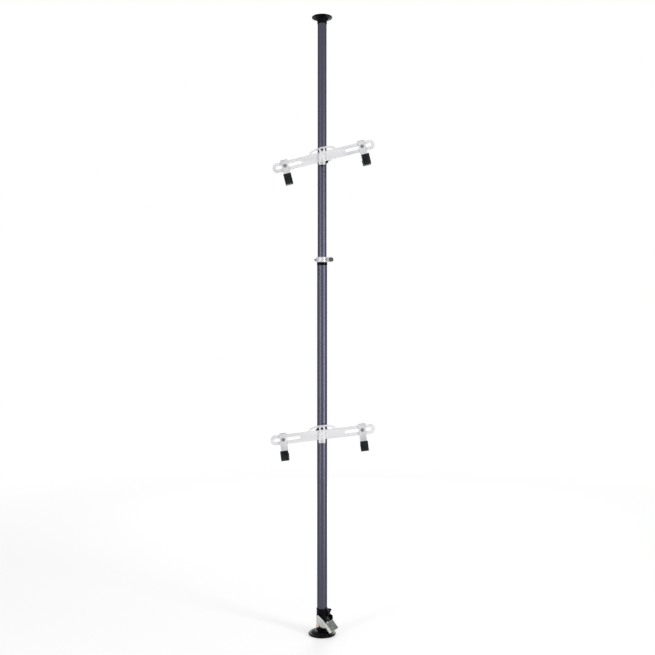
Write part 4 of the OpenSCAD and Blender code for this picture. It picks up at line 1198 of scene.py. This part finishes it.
def make_bar(name, place):
    node = name + "_bar"
    low, high = box_in(node, place)
    half_len = high.x
    back, front = -high.y, -low.y
    top = high.z - ARCH_H
    half_h = (top - low.z) / 2
    mid = top - half_h
    end = half_len - half_h

    def arch_point(angle, trim=0):
        a = radians(angle)
        return (ARCH_HALF - trim) * cos(a), top + (ARCH_H - trim) * sin(a)

    root = ARCH_HALF + 0.001
    outline = rounded([
        *arc((end, mid), half_h, -90, 90), (root, top, 0.007), *[arch_point(a) for a in ARCH_ANGLES],
        (-root, top, 0.007), *arc((-end, mid), half_h, 90, 270)])
    half_slot = SLOT_H / 2
    outer = half_len - SLOT_END - half_slot
    inner = half_len - SLOT_END - SLOT_LEN + half_slot
    slot = arc((outer, mid), half_slot, -90, 90) + arc((inner, mid), half_slot, 90, 270)
    inner_half = ARCH_HALF - ARCH_BAND
    span = degrees(acos(STRAP_TOP_R / inner_half)) - WINDOW_START
    edge = [arch_point(WINDOW_START + span * k / WINDOW_STEPS, ARCH_BAND) for k in range(WINDOW_STEPS + 1)]
    window = rounded([(inner_half - 0.001, top, 0.0022), *edge, (STRAP_TOP_R, top, 0.0015)])
    holes = [circle((0, 0), PIVOT_R + FIT / 2), slot, window, mirrored(slot), mirrored(window)]
    dress(node, plate(outline, back, front, place @ FRONT, holes, soft=0.0014))


HOOK_T = 0.005
HOOK_HALF = 0.015
HOOK_BEND = 0.01
LIP = 0.007
RIB_DEPTH = 0.0006
RIB_PITCH = 0.0042
RIB_STEPS = 8
SLEEVE_TOP = 0.023


def hook_outline(back, tip_in, foot, top, tip_z):
    """Side view of the steel strip, as [in front of the pole, up]."""
    front = back + HOOK_T
    tip_out = tip_in + HOOK_T
    outer = HOOK_BEND + HOOK_T
    inside = foot + HOOK_T
    return rounded([
        (back - LIP, top - HOOK_T), (back, top - HOOK_T, 0.0015), (back, foot, outer), (tip_out, foot, outer),
        (tip_out, tip_z), (tip_in, tip_z), (tip_in, inside, HOOK_BEND), (front, inside, HOOK_BEND),
        (front, top, 0.0015 + HOOK_T), (back - LIP, top)])


def ripple(x, *heights):
    """An upright run from one height to another, waved towards its left."""
    start, end = (Vector((x, z)) for z in heights)
    along = end - start
    left = Vector((-along.y, along.x)).normalized()
    waves = int(along.length / RIB_PITCH)
    steps = waves * RIB_STEPS
    return [tuple(start + along * k / steps + left * RIB_DEPTH * wave(2 * pi * waves * k / steps))
            for k in range(steps + 1)]


def grip_outline(reach, back, tip_in, foot, tip_z):
    """Side view of the rubber sleeve: ribbed inside the cradle and outside its front arm."""
    inside = 0.0035
    edge = 0.003
    gap = 0.001
    outer = HOOK_BEND + HOOK_T + 0.0045
    top = foot + SLEEVE_TOP
    bend_z = foot + HOOK_BEND + HOOK_T
    front_bend = (back + HOOK_T + HOOK_BEND, bend_z)
    tip_bend = (tip_in - HOOK_BEND, bend_z)
    tip_out = tip_bend[0] + outer
    near = back + HOOK_T + inside
    far = tip_in - inside
    outline = [(near - gap, top), (reach + gap, top), (reach, top - gap)]
    outline += arc(front_bend, outer, 180, 270)
    outline += arc(tip_bend, outer, 270, 360)
    outline += ripple(tip_out, bend_z + gap, tip_z - edge - gap)
    outline += arc((tip_out - edge, tip_z - edge), edge, 0, 90)
    outline += arc((far + edge, tip_z - edge), edge, 90, 180)
    outline += ripple(far, tip_z - edge - gap, bend_z + gap)
    outline += arc(tip_bend, HOOK_BEND - inside, 360, 270)
    outline += arc(front_bend, HOOK_BEND - inside, 270, 180)
    outline += ripple(near, bend_z + gap, top - 2 * gap)
    return outline


def make_hook(name, bar_place, side):
    ending = "_left" if side < 0 else "_right"
    hook, grip, screw, nut = (name + part + ending for part in ("_hook", "_grip", "_hook_screw", "_slot_nut"))
    low, high = box_in(screw, bar_place)
    centre = (low + high) / 2
    place = bar_place @ shift(centre.x, 0, centre.z)
    axis = place @ FRONT
    low, high = box_in(hook, place)
    back = -high.y + LIP
    tip_in = -low.y - HOOK_T
    foot, top = low.z, high.z
    low, high = box_in(grip, place)
    strip = hook_outline(back, tip_in, foot, top, high.z - 0.0013)
    dress(hook, plate(strip, -HOOK_HALF, HOOK_HALF, place @ SIDE, soft=0.0009))
    half = (high.x - low.x) / 2
    sleeve = grip_outline(-high.y, back, tip_in, foot, high.z)
    dress(grip, plate(sleeve, -half, half, place @ SIDE, soft=0.0009))

    head_r = 0.007
    socket = 0.0026
    seat = back + HOOK_T
    low, high = box_in(screw, place)
    reach = -low.y - seat
    head = turned([
        (0, 0), (head_r, 0, 0.0003), (head_r, reach * 0.42, 0.0008), (head_r - 0.0022, reach, 0.0012),
        (socket + 0.0005, reach), (socket, reach - 0.0003, 0, hexagon), (socket, reach - 0.0024, 0, hexagon),
        (0, reach - 0.0027)], axis @ shift(z=seat), BOLT_SEGMENTS)
    dress(screw, joined(head, pin(0.004, -high.y, seat + 0.0005, 0.0006, axis)))

    low, high = box_in(nut, place)
    nut_back = -high.y
    flange = 0.004
    half = high.x
    key_x, key_z = 0.007, (SLOT_H - 0.0006) / 2
    hole = circle((0, 0), 0.004)
    square = rectangle(-half, -half, half, half, 0.003)
    key = rectangle(-key_x, -key_z, key_x, key_z, 0.001)
    base = plate(square, nut_back, nut_back + flange, axis, [hole], soft=0.0006)
    boss = plate(key, nut_back + flange * 0.7, -low.y, axis, [hole], soft=0.0003)
    dress(nut, fused(base, boss))


for mount, tube_r in (("upper", UPPER_R), ("lower", LOWER_R)):
    pivot_z = JOINTS[mount + "_tilt"]["pos_m"][2]
    along = Vector(JOINTS[mount + "_hook_right_slide"]["axis"])
    bar_place = shift(z=pivot_z) @ turn(-degrees(atan2(along.z, along.x)), "Y")
    make_liner(mount, tube_r)
    make_pole_clamp(mount, pivot_z)
    make_strap(mount, pivot_z)
    make_bar(mount, bar_place)
    for hand in (-1, 1):
        make_hook(mount, bar_place, hand)

bpy.context.scene.view_settings.view_transform = "Standard"
